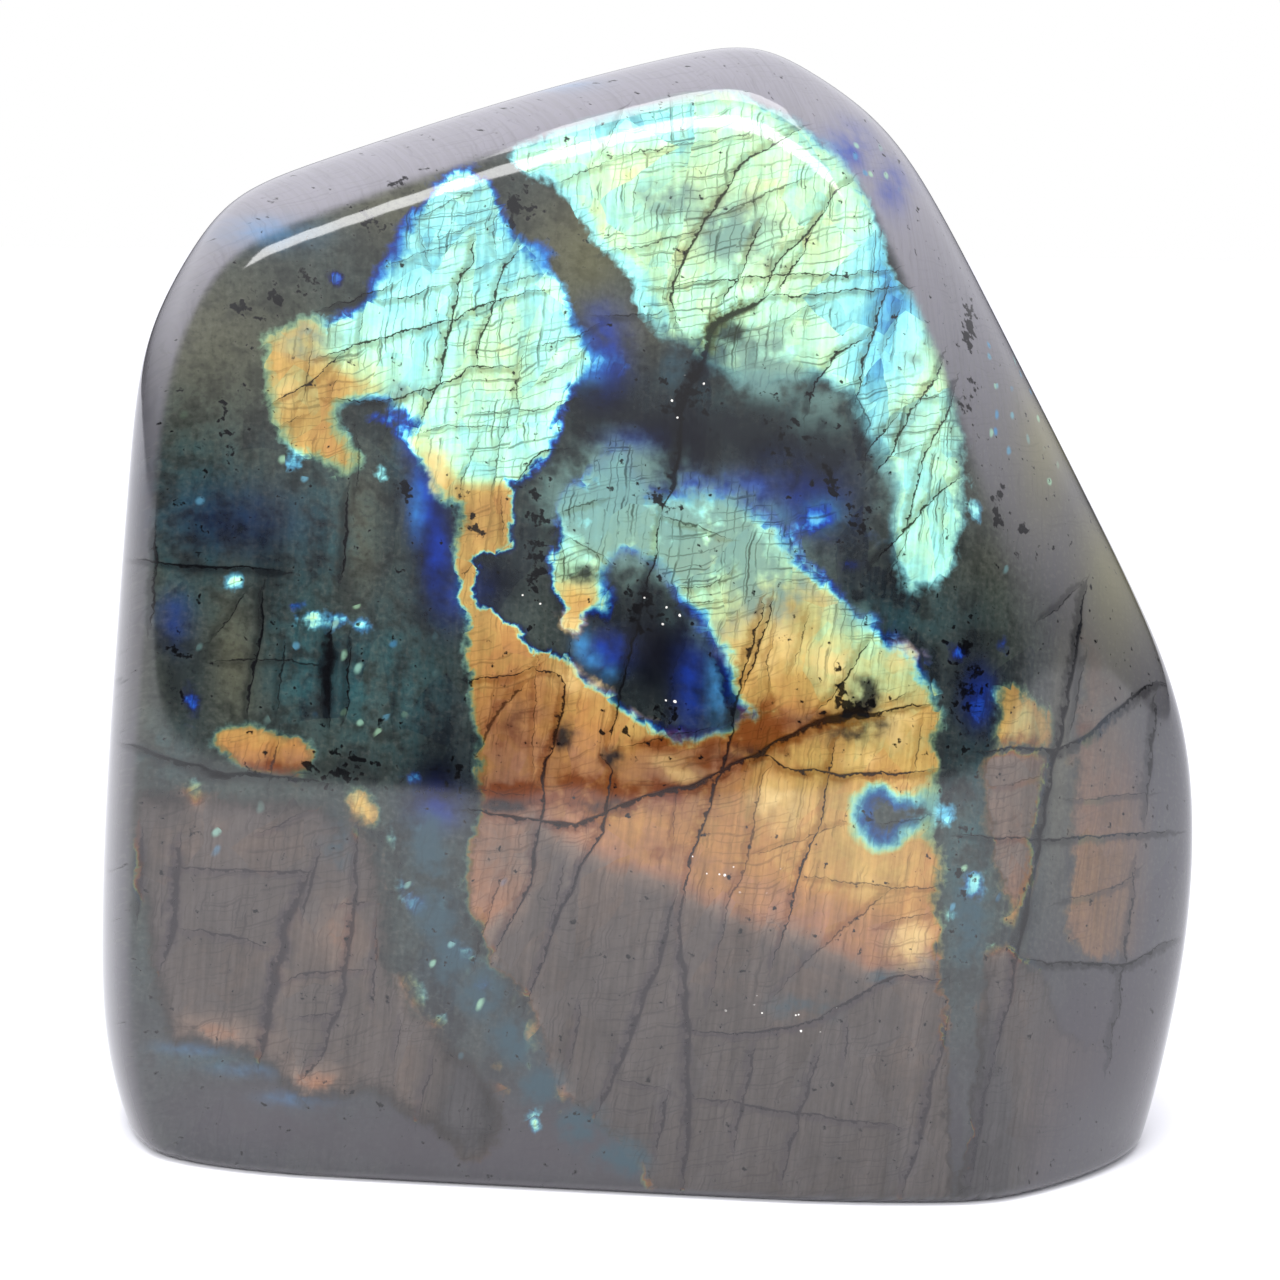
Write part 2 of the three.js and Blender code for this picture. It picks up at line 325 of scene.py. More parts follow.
# how far two crystals blend, the rim of a small one, and how far round an island its rim reaches
CRYSTAL_BLEND = 0.8
SPOT_RIM, SPOT_RIM_DROP = 0.9, 0.12
ISLAND_REACH = 5


def smooth_outline(corners):
    """A closed curve through the corners, in short straight spans."""
    here = np.array(corners, float)
    before, after, last = np.roll(here, 1, 0), np.roll(here, -1, 0), np.roll(here, -2, 0)
    curve = []
    for step in np.arange(CORNERS_PER_SPAN) / CORNERS_PER_SPAN:
        bend = 2 * before - 5 * here + 4 * after - last + step * (3 * here - before - 3 * after + last)
        curve.append(here + 0.5 * step * (after - before + step * bend))
    return np.stack(curve, 1).reshape(-1, 2)


def depth_inside(points, corners):
    """How far each point lies inside the outline, in millimetres (minus is outside)."""
    best = np.full(len(points), 1e9)
    inside = np.zeros(len(points), bool)
    curve = smooth_outline(corners)
    for start, end in zip(curve, np.roll(curve, -1, 0)):
        along = end - start
        share = np.clip((points - start) @ along / (along @ along), 0, 1)
        best = np.minimum(best, np.hypot(*(points - start - share[:, None] * along).T))
        crosses = (start[1] > points[:, 1]) != (end[1] > points[:, 1])
        rise = along[1] if along[1] else 1e-9
        inside ^= crosses & (points[:, 0] < start[0] + (points[:, 1] - start[1]) / rise * along[0])
    return np.where(inside, best, -best)


def ramped(value, low_end, high_end):
    share = np.clip((value - low_end) / (high_end - low_end), 0, 1)
    return share * share * (3 - 2 * share)


def cloud_field(points, clouds, blend=np.maximum):
    """Soft clouds: middle, half width, half height, and strength of each."""
    total = np.zeros(len(points))
    for x, z, half_width, half_height, strength in clouds:
        away = ((points[:, 0] - x) / half_width) ** 2 + ((points[:, 1] - z) / half_height) ** 2
        total = blend(total, strength * np.exp(-0.9 * away))
    return total


def colour_fields(points, zones, spots, islands, folds):
    """Depth inside the zones, order, width of the rim, and order at the rim, at each point."""
    crystals = []
    for top_order, bottom_order, rim_order, rim_width, outline in zones.values():
        heights = [z for _, z in outline]
        level = ramped(points[:, 1], min(heights), max(heights))
        order = bottom_order + (top_order - bottom_order) * level
        crystals.append((depth_inside(points, outline), order, rim_width, rim_order))
    for x, z, half_width, half_height, order in spots:
        away = np.hypot((points[:, 0] - x) / half_width, (points[:, 1] - z) / half_height)
        inside = (1 - away) * min(half_width, half_height)
        crystals.append((inside, order, SPOT_RIM, order - SPOT_RIM_DROP))
    weight = np.full(len(points), 1e-9)
    depth = np.full(len(points), -30.0)
    totals = np.zeros((3, len(points)))
    for inside, *values in crystals:
        share = np.exp(np.clip(inside, -8, 3) / CRYSTAL_BLEND)
        weight += share
        depth = np.maximum(depth, inside)
        totals += [share * value for value in values]
    order, rim_width, rim_order = totals / weight
    for edge_order, width, outline in islands.values():
        outside = -depth_inside(points, outline)
        nearby = ramped(outside, ISLAND_REACH, 1)
        rim_width = rim_width + (width - rim_width) * nearby
        rim_order = rim_order + (edge_order - rim_order) * nearby
        depth = np.minimum(depth, outside)
    for shift, softness, outline in folds.values():
        order = order + shift * ramped(depth_inside(points, outline), -softness / 2, softness / 2)
    return depth, order, rim_width, rim_order


# where the order is shifted, and where the rim is wider (place, half width, half height, how much)
ORDER_CLOUDS = [
    (-15, 108, 6, 9, 0.05), (-8, 100, 5, 4, -0.02), (-20, 116, 7, 6, -0.02), (-30, 104, 5, 3, 0.06),
    (4, 127, 10, 5, 0.03), (22, 125, 8, 4, 0.03), (6, 116, 4, 6, 0.03), (0, 134, 14, 3, -0.07),
    (34, 116, 3.5, 8, -0.13), (31, 107, 4, 4, -0.07), (40, 90, 3, 10, 0.05), (30, 92, 3, 7, -0.07),
    (16, 84, 6, 5, 0.04), (22, 77, 6, 3, 0.08), (20, 70, 6, 5, 0.07), (-4, 76, 2.5, 3, 0.12),
    (-13, 60, 5, 10, 0.10), (-7, 66, 4, 4, 0.05), (12, 57, 8, 4, 0.10), (22, 63, 5, 3, 0.10),
    (33, 60, 7, 5, -0.02), (14, 48, 10, 5, 0.03), (28, 45, 8, 6, -0.04), (-14, 44, 4, 6, 0.10),
    (-9, 56, 9, 6, 0.05), (4, 54, 8, 4, 0.08), (38, 26, 4, 12, -0.04), (50, 64, 2, 2, -0.04),
    (60, 40, 5, 12, -0.04), (-52, 19, 6, 2.2, -0.18), (-38, 13, 4, 2.2, -0.20), (-35, 34, 3.5, 5, -0.10),
    (-46, 44, 12, 5, -0.06), (61, 68, 6, 8, 0.06),
]
RIM_CLOUDS = [
    (18, 103, 9, 3, 5.0), (28, 98, 4, 6, 4.0), (3, 113, 4, 6, 2.5), (-5, 123, 5, 4, 2.0),
    (12, 66, 3, 5, 3.6), (-32, 96, 4, 5, 1.8), (-26, 119, 5, 5, 1.6), (-40, 100, 3, 6, 1.6),
    (-1, 108, 3.5, 4, 4.5), (14, 92, 9, 4, 4.0), (-21.5, 84, 2, 6, 2.0), (12, 68, 4, 5, 2.0),
    (33, 50, 6, 5, 1.5), (30, 92, 4, 8, 3.5), (24, 101, 6, 5, 3.0), (2, 96, 4, 3, 2.5),
    (36, 78, 5, 3, 1.5),
]
# rims that are broken off rather than thinned out
CUT_CLOUDS = [
    (42, 12, 5, 20, 1.0), (-4, 10, 8, 8, 1.0), (-12, 96, 3, 3, 0.5), (60, 50, 6, 20, 0.6),
    (20, 134, 12, 4, 0.7), (-3, 118, 8, 7, 1.0), (42, 95, 3, 14, 1.0), (4, 110, 4, 4, 0.6),
    (12, 79, 4, 3, 0.4), (40, 40, 3, 24, 0.7), (-8, 20, 10, 14, 0.8),
]

# zones that fade out over several millimetres instead of ending at an edge
FADE_CLOUDS = [
    (17, 103, 8, 5, 6.5), (26, 99, 4, 5, 5.0), (8, 107, 4, 4, 4.0), (32, 91, 3, 9, 4.0),
    (36, 77, 5, 3, 3.0), (0, 81, 6, 2, 1.5), (-21.5, 86, 1.5, 8, 1.6), (60, 50, 8, 24, 1.0),
    (49, 48, 5, 12, 1.0), (-32, 49, 3, 4, 1.4), (-44, 57, 9, 4, 1.2), (-38, 30, 24, 26, 2.4),
    (38, 96, 5, 16, 1.6), (-2, 106, 3, 4, 2.0), (46, 64, 4, 4, 1.2),
]

count = len(stone_mesh.vertices)
place, facing = np.zeros(count * 3), np.zeros(count * 3)
stone_mesh.vertices.foreach_get("co", place)
stone_mesh.vertex_normals.foreach_get("vector", facing)
place, facing = place.reshape(-1, 3) / MM, facing.reshape(-1, 3)
# the face is laid out on an upright pane that touches it, as it looks from FAN_POINT, where the
# camera is set up too, and runs back into the stone along lines that fan out from there; by the
# back the crystals have leant over and bent
PANE_DEPTH, FAN_POINT = -26, np.array((50, -383, 149))
x, y, z = place.T
fan = (PANE_DEPTH - FAN_POINT[1]) / (y - FAN_POINT[1])
face_view = FAN_POINT[[0, 2]] + (place[:, [0, 2]] - FAN_POINT[[0, 2]]) * fan[:, None]
back_view = np.stack([x - 9 + 6 * np.sin(z / 19), z + 7 + 5 * np.sin(x / 23)], 1)
to_back = ramped(y, -10, 12)
flat_view = face_view + (back_view - face_view) * to_back[:, None]


def write_attribute(name, *columns):
    attribute = stone_mesh.attributes.new(name, "FLOAT_VECTOR", "POINT")
    attribute.data.foreach_set("vector", np.stack(columns, 1).astype(np.float32).ravel())


depth, order, rim_width, rim_order = colour_fields(flat_view, ZONES, SPOTS, ISLANDS, FOLDS)
order += cloud_field(flat_view, ORDER_CLOUDS, np.add)
rim_width += cloud_field(flat_view, RIM_CLOUDS)
rim_order += (order - 0.06 - rim_order) * cloud_field(flat_view, CUT_CLOUDS)
# the crystals have thinned by the back, and their edges are blurred
depth -= 2.2 * to_back
order -= 0.05 * to_back
rim_width += 1.5 * to_back
# lamellae lie along the broad faces, so the colour goes out where a bevel turns away
shown = ramped(np.abs(facing[:, 1]), 0.74, 0.93)
write_attribute("colour_zone", depth, order, rim_width)
fade = 0.7 + cloud_field(flat_view, FADE_CLOUDS) + 0.8 * to_back
write_attribute("colour_rim", rim_order, shown, fade)

# ---------------------------------------------------------------------------------------------
# Cracks. Feldspar cleaves in two directions at nearly a right angle, so a polished piece is full
# of healed cracks: uprights that lean to the right, and levels that climb to the right in steps.
# ---------------------------------------------------------------------------------------------

# how dark, then the cracks of that kind: the width and the points along each, in millimetres
CRACKS = {
    "open": (1.0, [
        # crest and ear
        (0.34, [(-16.5, 121), (-16.5, 118), (-18.5, 115), (-19.5, 110), (-21, 104), (-22.5, 100), (-24, 97)]),
        (0.28, [(-11, 120), (-13, 117), (-14, 113.5), (-15.5, 110), (-16.5, 105)]),
        (0.26, [(-36, 106), (-31, 107.5), (-25, 109.5), (-20, 110.5), (-14, 113.5), (-8, 114.5)]),
        (0.22, [(-35, 112), (-31, 113), (-26.5, 115)]), (0.20, [(-28, 113), (-25, 113.5), (-20.5, 115)]),
        (0.20, [(-35, 101), (-28, 100.5), (-21, 103), (-17.5, 105), (-11, 105.5)]),
        (0.26, [(-12, 91), (-9, 95), (-6.5, 95.5)]), (0.26, [(-41.5, 100.5), (-37, 103), (-33, 106.5)]),
        # crown
        (0.40, [(22, 133.5), (16, 130), (12.5, 125), (9.5, 120), (7.5, 115), (7, 113), (8, 110.5)]),
        (0.32, [(28, 127.5), (25.5, 125), (24.5, 122.5), (20, 118.5), (18, 114)]),
        (0.26, [(18, 123), (16.5, 120), (15.5, 117), (13, 113)]),
        (0.24, [(24, 122), (22.5, 118.5), (20, 114.5)]),
        (0.20, [(5, 115), (14, 116), (22, 117), (27, 116.5), (33, 117.5)]),
        (0.22, [(18, 114), (24, 114.5), (34.5, 115.5)]),
        (0.34, [(33, 116), (31.5, 111.5), (30.5, 108), (30, 104.5), (29, 101.5)]),
        (0.28, [(31, 110), (26.5, 107), (24, 103), (23.5, 100.5)]),
        (0.28, [(39.5, 107), (38.5, 104), (35.5, 100), (33.5, 95), (31.5, 93)]),
        (0.32, [(41, 104), (40, 100.5), (38, 96.5), (37, 93), (36, 89), (35.5, 86.5)]),
        (0.30, [(42, 93), (38.5, 90), (35, 86), (31.5, 82)]),
        (0.20, [(34.5, 100.5), (31, 96.5), (30.5, 94.5)]),
        (1.40, [(18.5, 114), (15, 112), (12, 110.5), (11, 107), (9.5, 103.5), (8.5, 100)]),
        # down the middle and the sheet
        (0.80, [(8.5, 100), (8, 95), (7.5, 91), (6, 88)]),
        (0.38, [(6, 88), (5.5, 84), (4.5, 80), (3.5, 75), (2, 70), (0.5, 63), (-0.5, 59)]),
        (0.54, [(-1, 57), (0, 55), (-1.5, 47), (-4, 43), (-7, 36), (-9, 30), (-11, 25)]),
        (0.52, [(-9.5, 68), (-7, 68), (-6, 66), (-6.5, 62), (-8.5, 55), (-9, 49), (-10.5, 40), (-15, 31.5)]),
        (0.60, [(18.5, 77), (17, 71.5), (15.5, 66), (14.5, 60), (13, 55), (11.5, 50), (10, 45), (9, 40)]),
        (0.36, [(19.5, 77.5), (18.5, 73), (16, 66)]),
        (0.30, [(31.5, 73), (29.5, 70), (27.5, 66.5), (25, 64)]),
        (0.30, [(27.5, 60), (26.5, 54), (25.5, 49.5), (24, 46), (23, 41.5), (20, 31)]),
        (0.80, [(-18, 50), (-10, 49), (-5, 48.5), (-1, 50), (4, 52.5), (10, 54), (13.5, 56), (20, 59.5),
                (24, 62), (28, 63), (33, 64), (38, 65)]),
        (1.70, [(23.5, 61.5), (27, 63), (32, 63.5)]),
        (0.46, [(18.5, 58.5), (21.5, 56.5), (27, 56), (31, 56), (39.5, 57)]),
        (0.26, [(-18, 66.5), (-12, 67), (-9.5, 68.5)]),
        # right-hand side
        (0.70, [(57, 80), (56, 73), (55, 65), (53.5, 57), (52, 46), (50.5, 36), (49, 27), (47.5, 20)]),
        (0.66, [(45.5, 59.5), (50, 60), (54, 59.5), (58, 62), (62, 66), (65.5, 69)]),
        (0.34, [(43, 49), (52, 48.5), (60, 49.5), (68, 50.5)]),
        (0.40, [(50.5, 33.5), (55, 33), (64, 33.5), (69, 37)]),
        (0.36, [(10, 22.5), (15, 22), (22, 23.5), (25, 24), (30, 27.5), (35, 30.5), (41, 30.5)]),
        # left-hand side
        (0.40, [(-57, 84), (-57, 80), (-58, 72)]), (0.40, [(-60, 80.5), (-50, 80), (-41, 79.5)]),
        (0.50, [(-43.5, 77), (-44, 71), (-45.5, 64), (-46, 61)]),
        (1.30, [(-35, 72.5), (-35.5, 66), (-35.5, 61)]), (0.34, [(-32.5, 71), (-33, 65), (-33.5, 61)]),
        (0.50, [(-32.5, 89.5), (-33, 84), (-33.5, 79)]),
    ]),
    "healed": (0.7, [
        (0.20, [(-13.5, 124), (-14.5, 122), (-14, 118.5)]), (0.16, [(-23.5, 122), (-22, 117)]),
        (0.18, [(-27, 117.5), (-20, 119.5), (-16.5, 121)]), (0.20, [(-23.5, 123), (-15, 127)]),
        (0.16, [(-22, 120), (-15.5, 123)]), (0.18, [(-14, 115), (-8, 116.5)]),
        (0.16, [(-18, 116.5), (-12.5, 118.5)]), (0.20, [(-17, 99.5), (-10, 100), (-5, 101.5)]),
        (0.18, [(-23.5, 97), (-20, 98), (-12, 98)]), (0.20, [(-9, 103.5), (-5, 106), (-3.5, 107.5)]),
        (0.16, [(-10, 107.5), (-4, 109), (-1, 111)]), (0.20, [(-12.5, 100), (-13.5, 96), (-14.5, 90)]),
        (0.20, [(-16, 96.5), (-18, 92), (-18.5, 89.5)]), (0.14, [(-10.5, 108), (-11.5, 103), (-11, 99)]),
        (0.16, [(-30, 113), (-31, 107.5)]), (0.20, [(-36.5, 108.5), (-37, 104), (-38.5, 100)]),
        (0.14, [(-33, 105), (-34.5, 101)]), (0.14, [(-41, 97.5), (-38, 99)]),
        (0.26, [(-31.5, 97), (-31, 94), (-31.5, 90)]), (0.16, [(19.5, 111), (25, 113.5)]),
        (0.18, [(0, 130.5), (7, 131.5), (18.5, 133.5)]), (0.14, [(-10, 130.5), (-1, 132.5)]),
        (0.26, [(13, 123.5), (18, 126), (23, 128)]), (0.24, [(-1, 119), (6, 120.5), (11, 122)]),
        (0.24, [(-1, 111.5), (4, 111.5), (7, 112.5)]), (0.20, [(-7, 127), (0, 130)]),
        (0.18, [(1.5, 135.5), (-1.5, 130)]), (0.16, [(7, 124), (6.5, 121)]),
        (0.20, [(34.5, 114), (33.5, 110.5), (32.5, 108)]), (0.18, [(40, 91.5), (40, 84)]),
        (0.20, [(36, 87), (33.5, 80)]), (0.26, [(29, 103), (31, 99), (30, 97)]),
        (0.16, [(34.5, 102), (41, 102.5)]), (0.16, [(33, 95), (38.5, 97)]), (0.16, [(-6, 86), (-6, 80)]),
        (0.20, [(-6.5, 87.5), (-4, 89), (-1, 89.5)]), (0.22, [(-6, 85), (0, 81.5)]),
        (0.26, [(6, 87.5), (11, 86), (14, 85)]), (0.24, [(6.5, 78), (13, 79.5), (14.5, 81)]),
        (0.16, [(7.5, 76.5), (14, 77.5)]), (0.22, [(1, 58.5), (12, 61.5)]),
        (0.20, [(-5, 73), (-5.5, 67.5)]), (0.14, [(-13.5, 90), (-13.5, 84)]),
        (0.22, [(-17, 81.5), (-18.5, 79)]), (0.16, [(-9, 69.5), (-10, 60), (-10, 54)]),
        (0.16, [(20, 74), (19, 70), (19.5, 66)]), (0.16, [(24, 76), (23, 72), (22, 69)]),
        (0.20, [(33, 65), (36, 66.5)]), (0.22, [(28, 49.5), (21, 46.5), (18, 45.5)]),
        (0.26, [(20, 58.5), (18.5, 55.5), (17.5, 49), (16.5, 43.5), (14.5, 39), (12, 26)]),
        (0.22, [(38, 63), (37, 56.5)]), (0.16, [(8, 53), (7.5, 46)]), (0.24, [(33, 50), (40, 51.5)]),
        (0.20, [(24, 43), (35, 42), (40.5, 42.5)]), (0.24, [(35, 42), (31, 38.5), (24, 32), (20, 27)]),
        (0.16, [(33, 37), (40, 39)]), (0.20, [(-18, 52.5), (-10, 52)]), (0.28, [(-6, 43), (-8, 35)]),
        (0.30, [(-13.5, 42), (-16, 36), (-17.5, 30)]), (0.20, [(0, 15.5), (8, 14)]),
        (0.30, [(57, 71), (55.5, 62)]), (0.26, [(56, 80), (52, 76)]),
        (0.22, [(56, 54), (60, 54), (65, 55)]), (0.18, [(55, 41), (62, 43), (64, 45)]),
        (0.20, [(47, 55), (53, 57)]), (0.28, [(64, 46), (63.5, 38), (61.5, 20)]),
        (0.28, [(-45.5, 77), (-47.5, 74), (-50, 71)]), (0.30, [(-41, 71), (-42, 62)]),
        (0.26, [(-50, 68), (-42, 68.5), (-35.5, 67.5)]), (0.30, [(-42, 58.5), (-43.5, 52)]),
        (0.22, [(-45, 46), (-38.5, 49)]),
    ]),
    # deep down in the stone, out of focus
    "deep": (0.75, [
        (0.50, [(-11, 66), (-14.5, 62), (-17, 57)]), (0.50, [(65.5, 66), (65, 52)]),
        (1.00, [(9, 40), (8, 36), (9, 30), (9.5, 20), (9.5, 8), (9, 2)]),
        (0.80, [(8, 40), (5.5, 30), (2, 21), (-0.5, 14), (-2, 11)]), (0.40, [(-4, 25), (-5.5, 17)]),
        (0.60, [(7, 14), (5.5, 6)]), (0.50, [(18, 21), (16, 11), (15.5, 7)]),
        (0.50, [(26, 20), (22.5, 8), (21.5, 3)]), (0.34, [(29.5, 24), (29, 19)]),
        (0.60, [(42, 26), (40, 17), (39, 11), (36.5, 2)]), (0.60, [(47.5, 20), (45.5, 9), (45, 4)]),
        (0.40, [(10, 13.5), (20, 12.5), (36, 11)]), (1.30, [(-55, 45), (-56, 38), (-56, 34), (-58, 28)]),
        (1.50, [(-38.5, 41), (-41.5, 34.5), (-43.5, 26), (-45.5, 16)]),
        (0.70, [(-32, 47), (-33, 36), (-34.5, 25), (-37.5, 17), (-40, 13.5)]),
        (0.50, [(-37, 44), (-39.5, 35)]), (0.80, [(-60, 46), (-61, 34)]),
        (0.40, [(-30, 35), (-30.5, 24)]), (0.34, [(-27, 22), (-28, 17)]), (0.34, [(-23, 17), (-25, 9)]),
        (0.50, [(-56, 41), (-45.5, 41), (-38, 41)]), (0.40, [(-35, 37), (-31, 37.5)]),
        (0.34, [(-56, 33), (-50, 32.5), (-44, 31)]), (0.44, [(-42, 26.5), (-39, 28), (-31, 28.5)]),
        (0.34, [(-40, 22), (-35, 22.5)]), (0.90, [(-62, 57), (-50, 53.5), (-37, 53)]),
    ]),
}
# how far a crack is felt, how long its straight bits are and how far they jump, how thin it ends,
# and the offset that stands for no crack
CRACK_REACH = 1.9
JAG_STEP, JAG = 1.6, 0.26
THIN_END = 0.12
FAR_OFF = 9.0
CRACK_SEED = 11


def broken_line(line, chance):
    """The crack in short jagged steps, as places and how far along each place is."""
    line = np.array(line, float)
    run = np.concatenate([[0], np.cumsum(np.hypot(*np.diff(line, axis=0).T))])
    along = np.linspace(0, run[-1], max(3, round(run[-1] / JAG_STEP)))
    places = np.stack([np.interp(along, run, line[:, axis]) for axis in (0, 1)], 1)
    places[1:-1] += chance.uniform(-JAG, JAG, places[1:-1].shape)
    return places, along / run[-1]


def crack_fields(points, cracks):
    """Signed distance to the nearest crack of a set, how dark it is, and its width there."""
    nearest, offset = np.full(len(points), 1e9), np.full(len(points), FAR_OFF)
    width, dark = np.full(len(points), 0.2), np.zeros(len(points))
    for crack_dark, crack_width, places, along in cracks:
        low_corner, high_corner = places.min(0) - CRACK_REACH - 1, places.max(0) + CRACK_REACH + 1
        close = np.flatnonzero(((points > low_corner) & (points < high_corner)).all(1))
        tapered = crack_width * (THIN_END + (1 - THIN_END) * np.sin(np.pi * along) ** 0.5)
        for index in range(len(places) - 1):
            start, step = places[index], places[index + 1] - places[index]
            away = points[close] - start
            share = np.clip(away @ step / (step @ step), 0, 1)
            distance = np.hypot(*(away - share[:, None] * step).T)
            closer = distance < nearest[close]
            chosen = close[closer]
            side = np.where(step[0] * away[:, 1] - step[1] * away[:, 0] > 0, 1, -1)
            nearest[chosen] = distance[closer]
            offset[chosen] = (side * distance)[closer]
            width[chosen] = (tapered[index] + share * (tapered[index + 1] - tapered[index]))[closer]
            dark[chosen] = crack_dark
    presence = dark * ramped(-nearest, -CRACK_REACH, -CRACK_REACH / 2)
    return np.clip(offset, -FAR_OFF, FAR_OFF), presence, width


def kept_apart(cracks, chance):
    """The cracks in sets. Those that meet go into different sets, so a set knows side from side."""
    sets = []
    for crack_dark, kind in cracks.values():
        for crack_width, line in kind:
            places, along = broken_line(line, chance)
            for crack_set in sets:
                gaps = [np.hypot(*(places[:, None] - other).transpose(2, 0, 1)).min()
                        for _, _, other, _ in crack_set]
                if min(gaps) > 2 * CRACK_REACH:
                    crack_set.append((crack_dark, crack_width, places, along))
                    break
            else:
                sets.append([(crack_dark, crack_width, places, along)])
    return sets


crack_sets = kept_apart(CRACKS, np.random.default_rng(CRACK_SEED))
# seen edge-on round the sides, the cracks are lost
in_view = ramped(np.abs(facing[:, 1]), 0.15, 0.5)
for number, crack_set in enumerate(crack_sets):
    offset, presence, width = crack_fields(flat_view, crack_set)
    write_attribute(f"cracks_{number}", offset, presence * in_view, width)

# ---------------------------------------------------------------------------------------------
# The body colour. Away from the colour zones the feldspar is charcoal to olive and mauve grey,
# clouded by fine needles of iron oxide, with soot-like specks where they crowd together.
# ---------------------------------------------------------------------------------------------

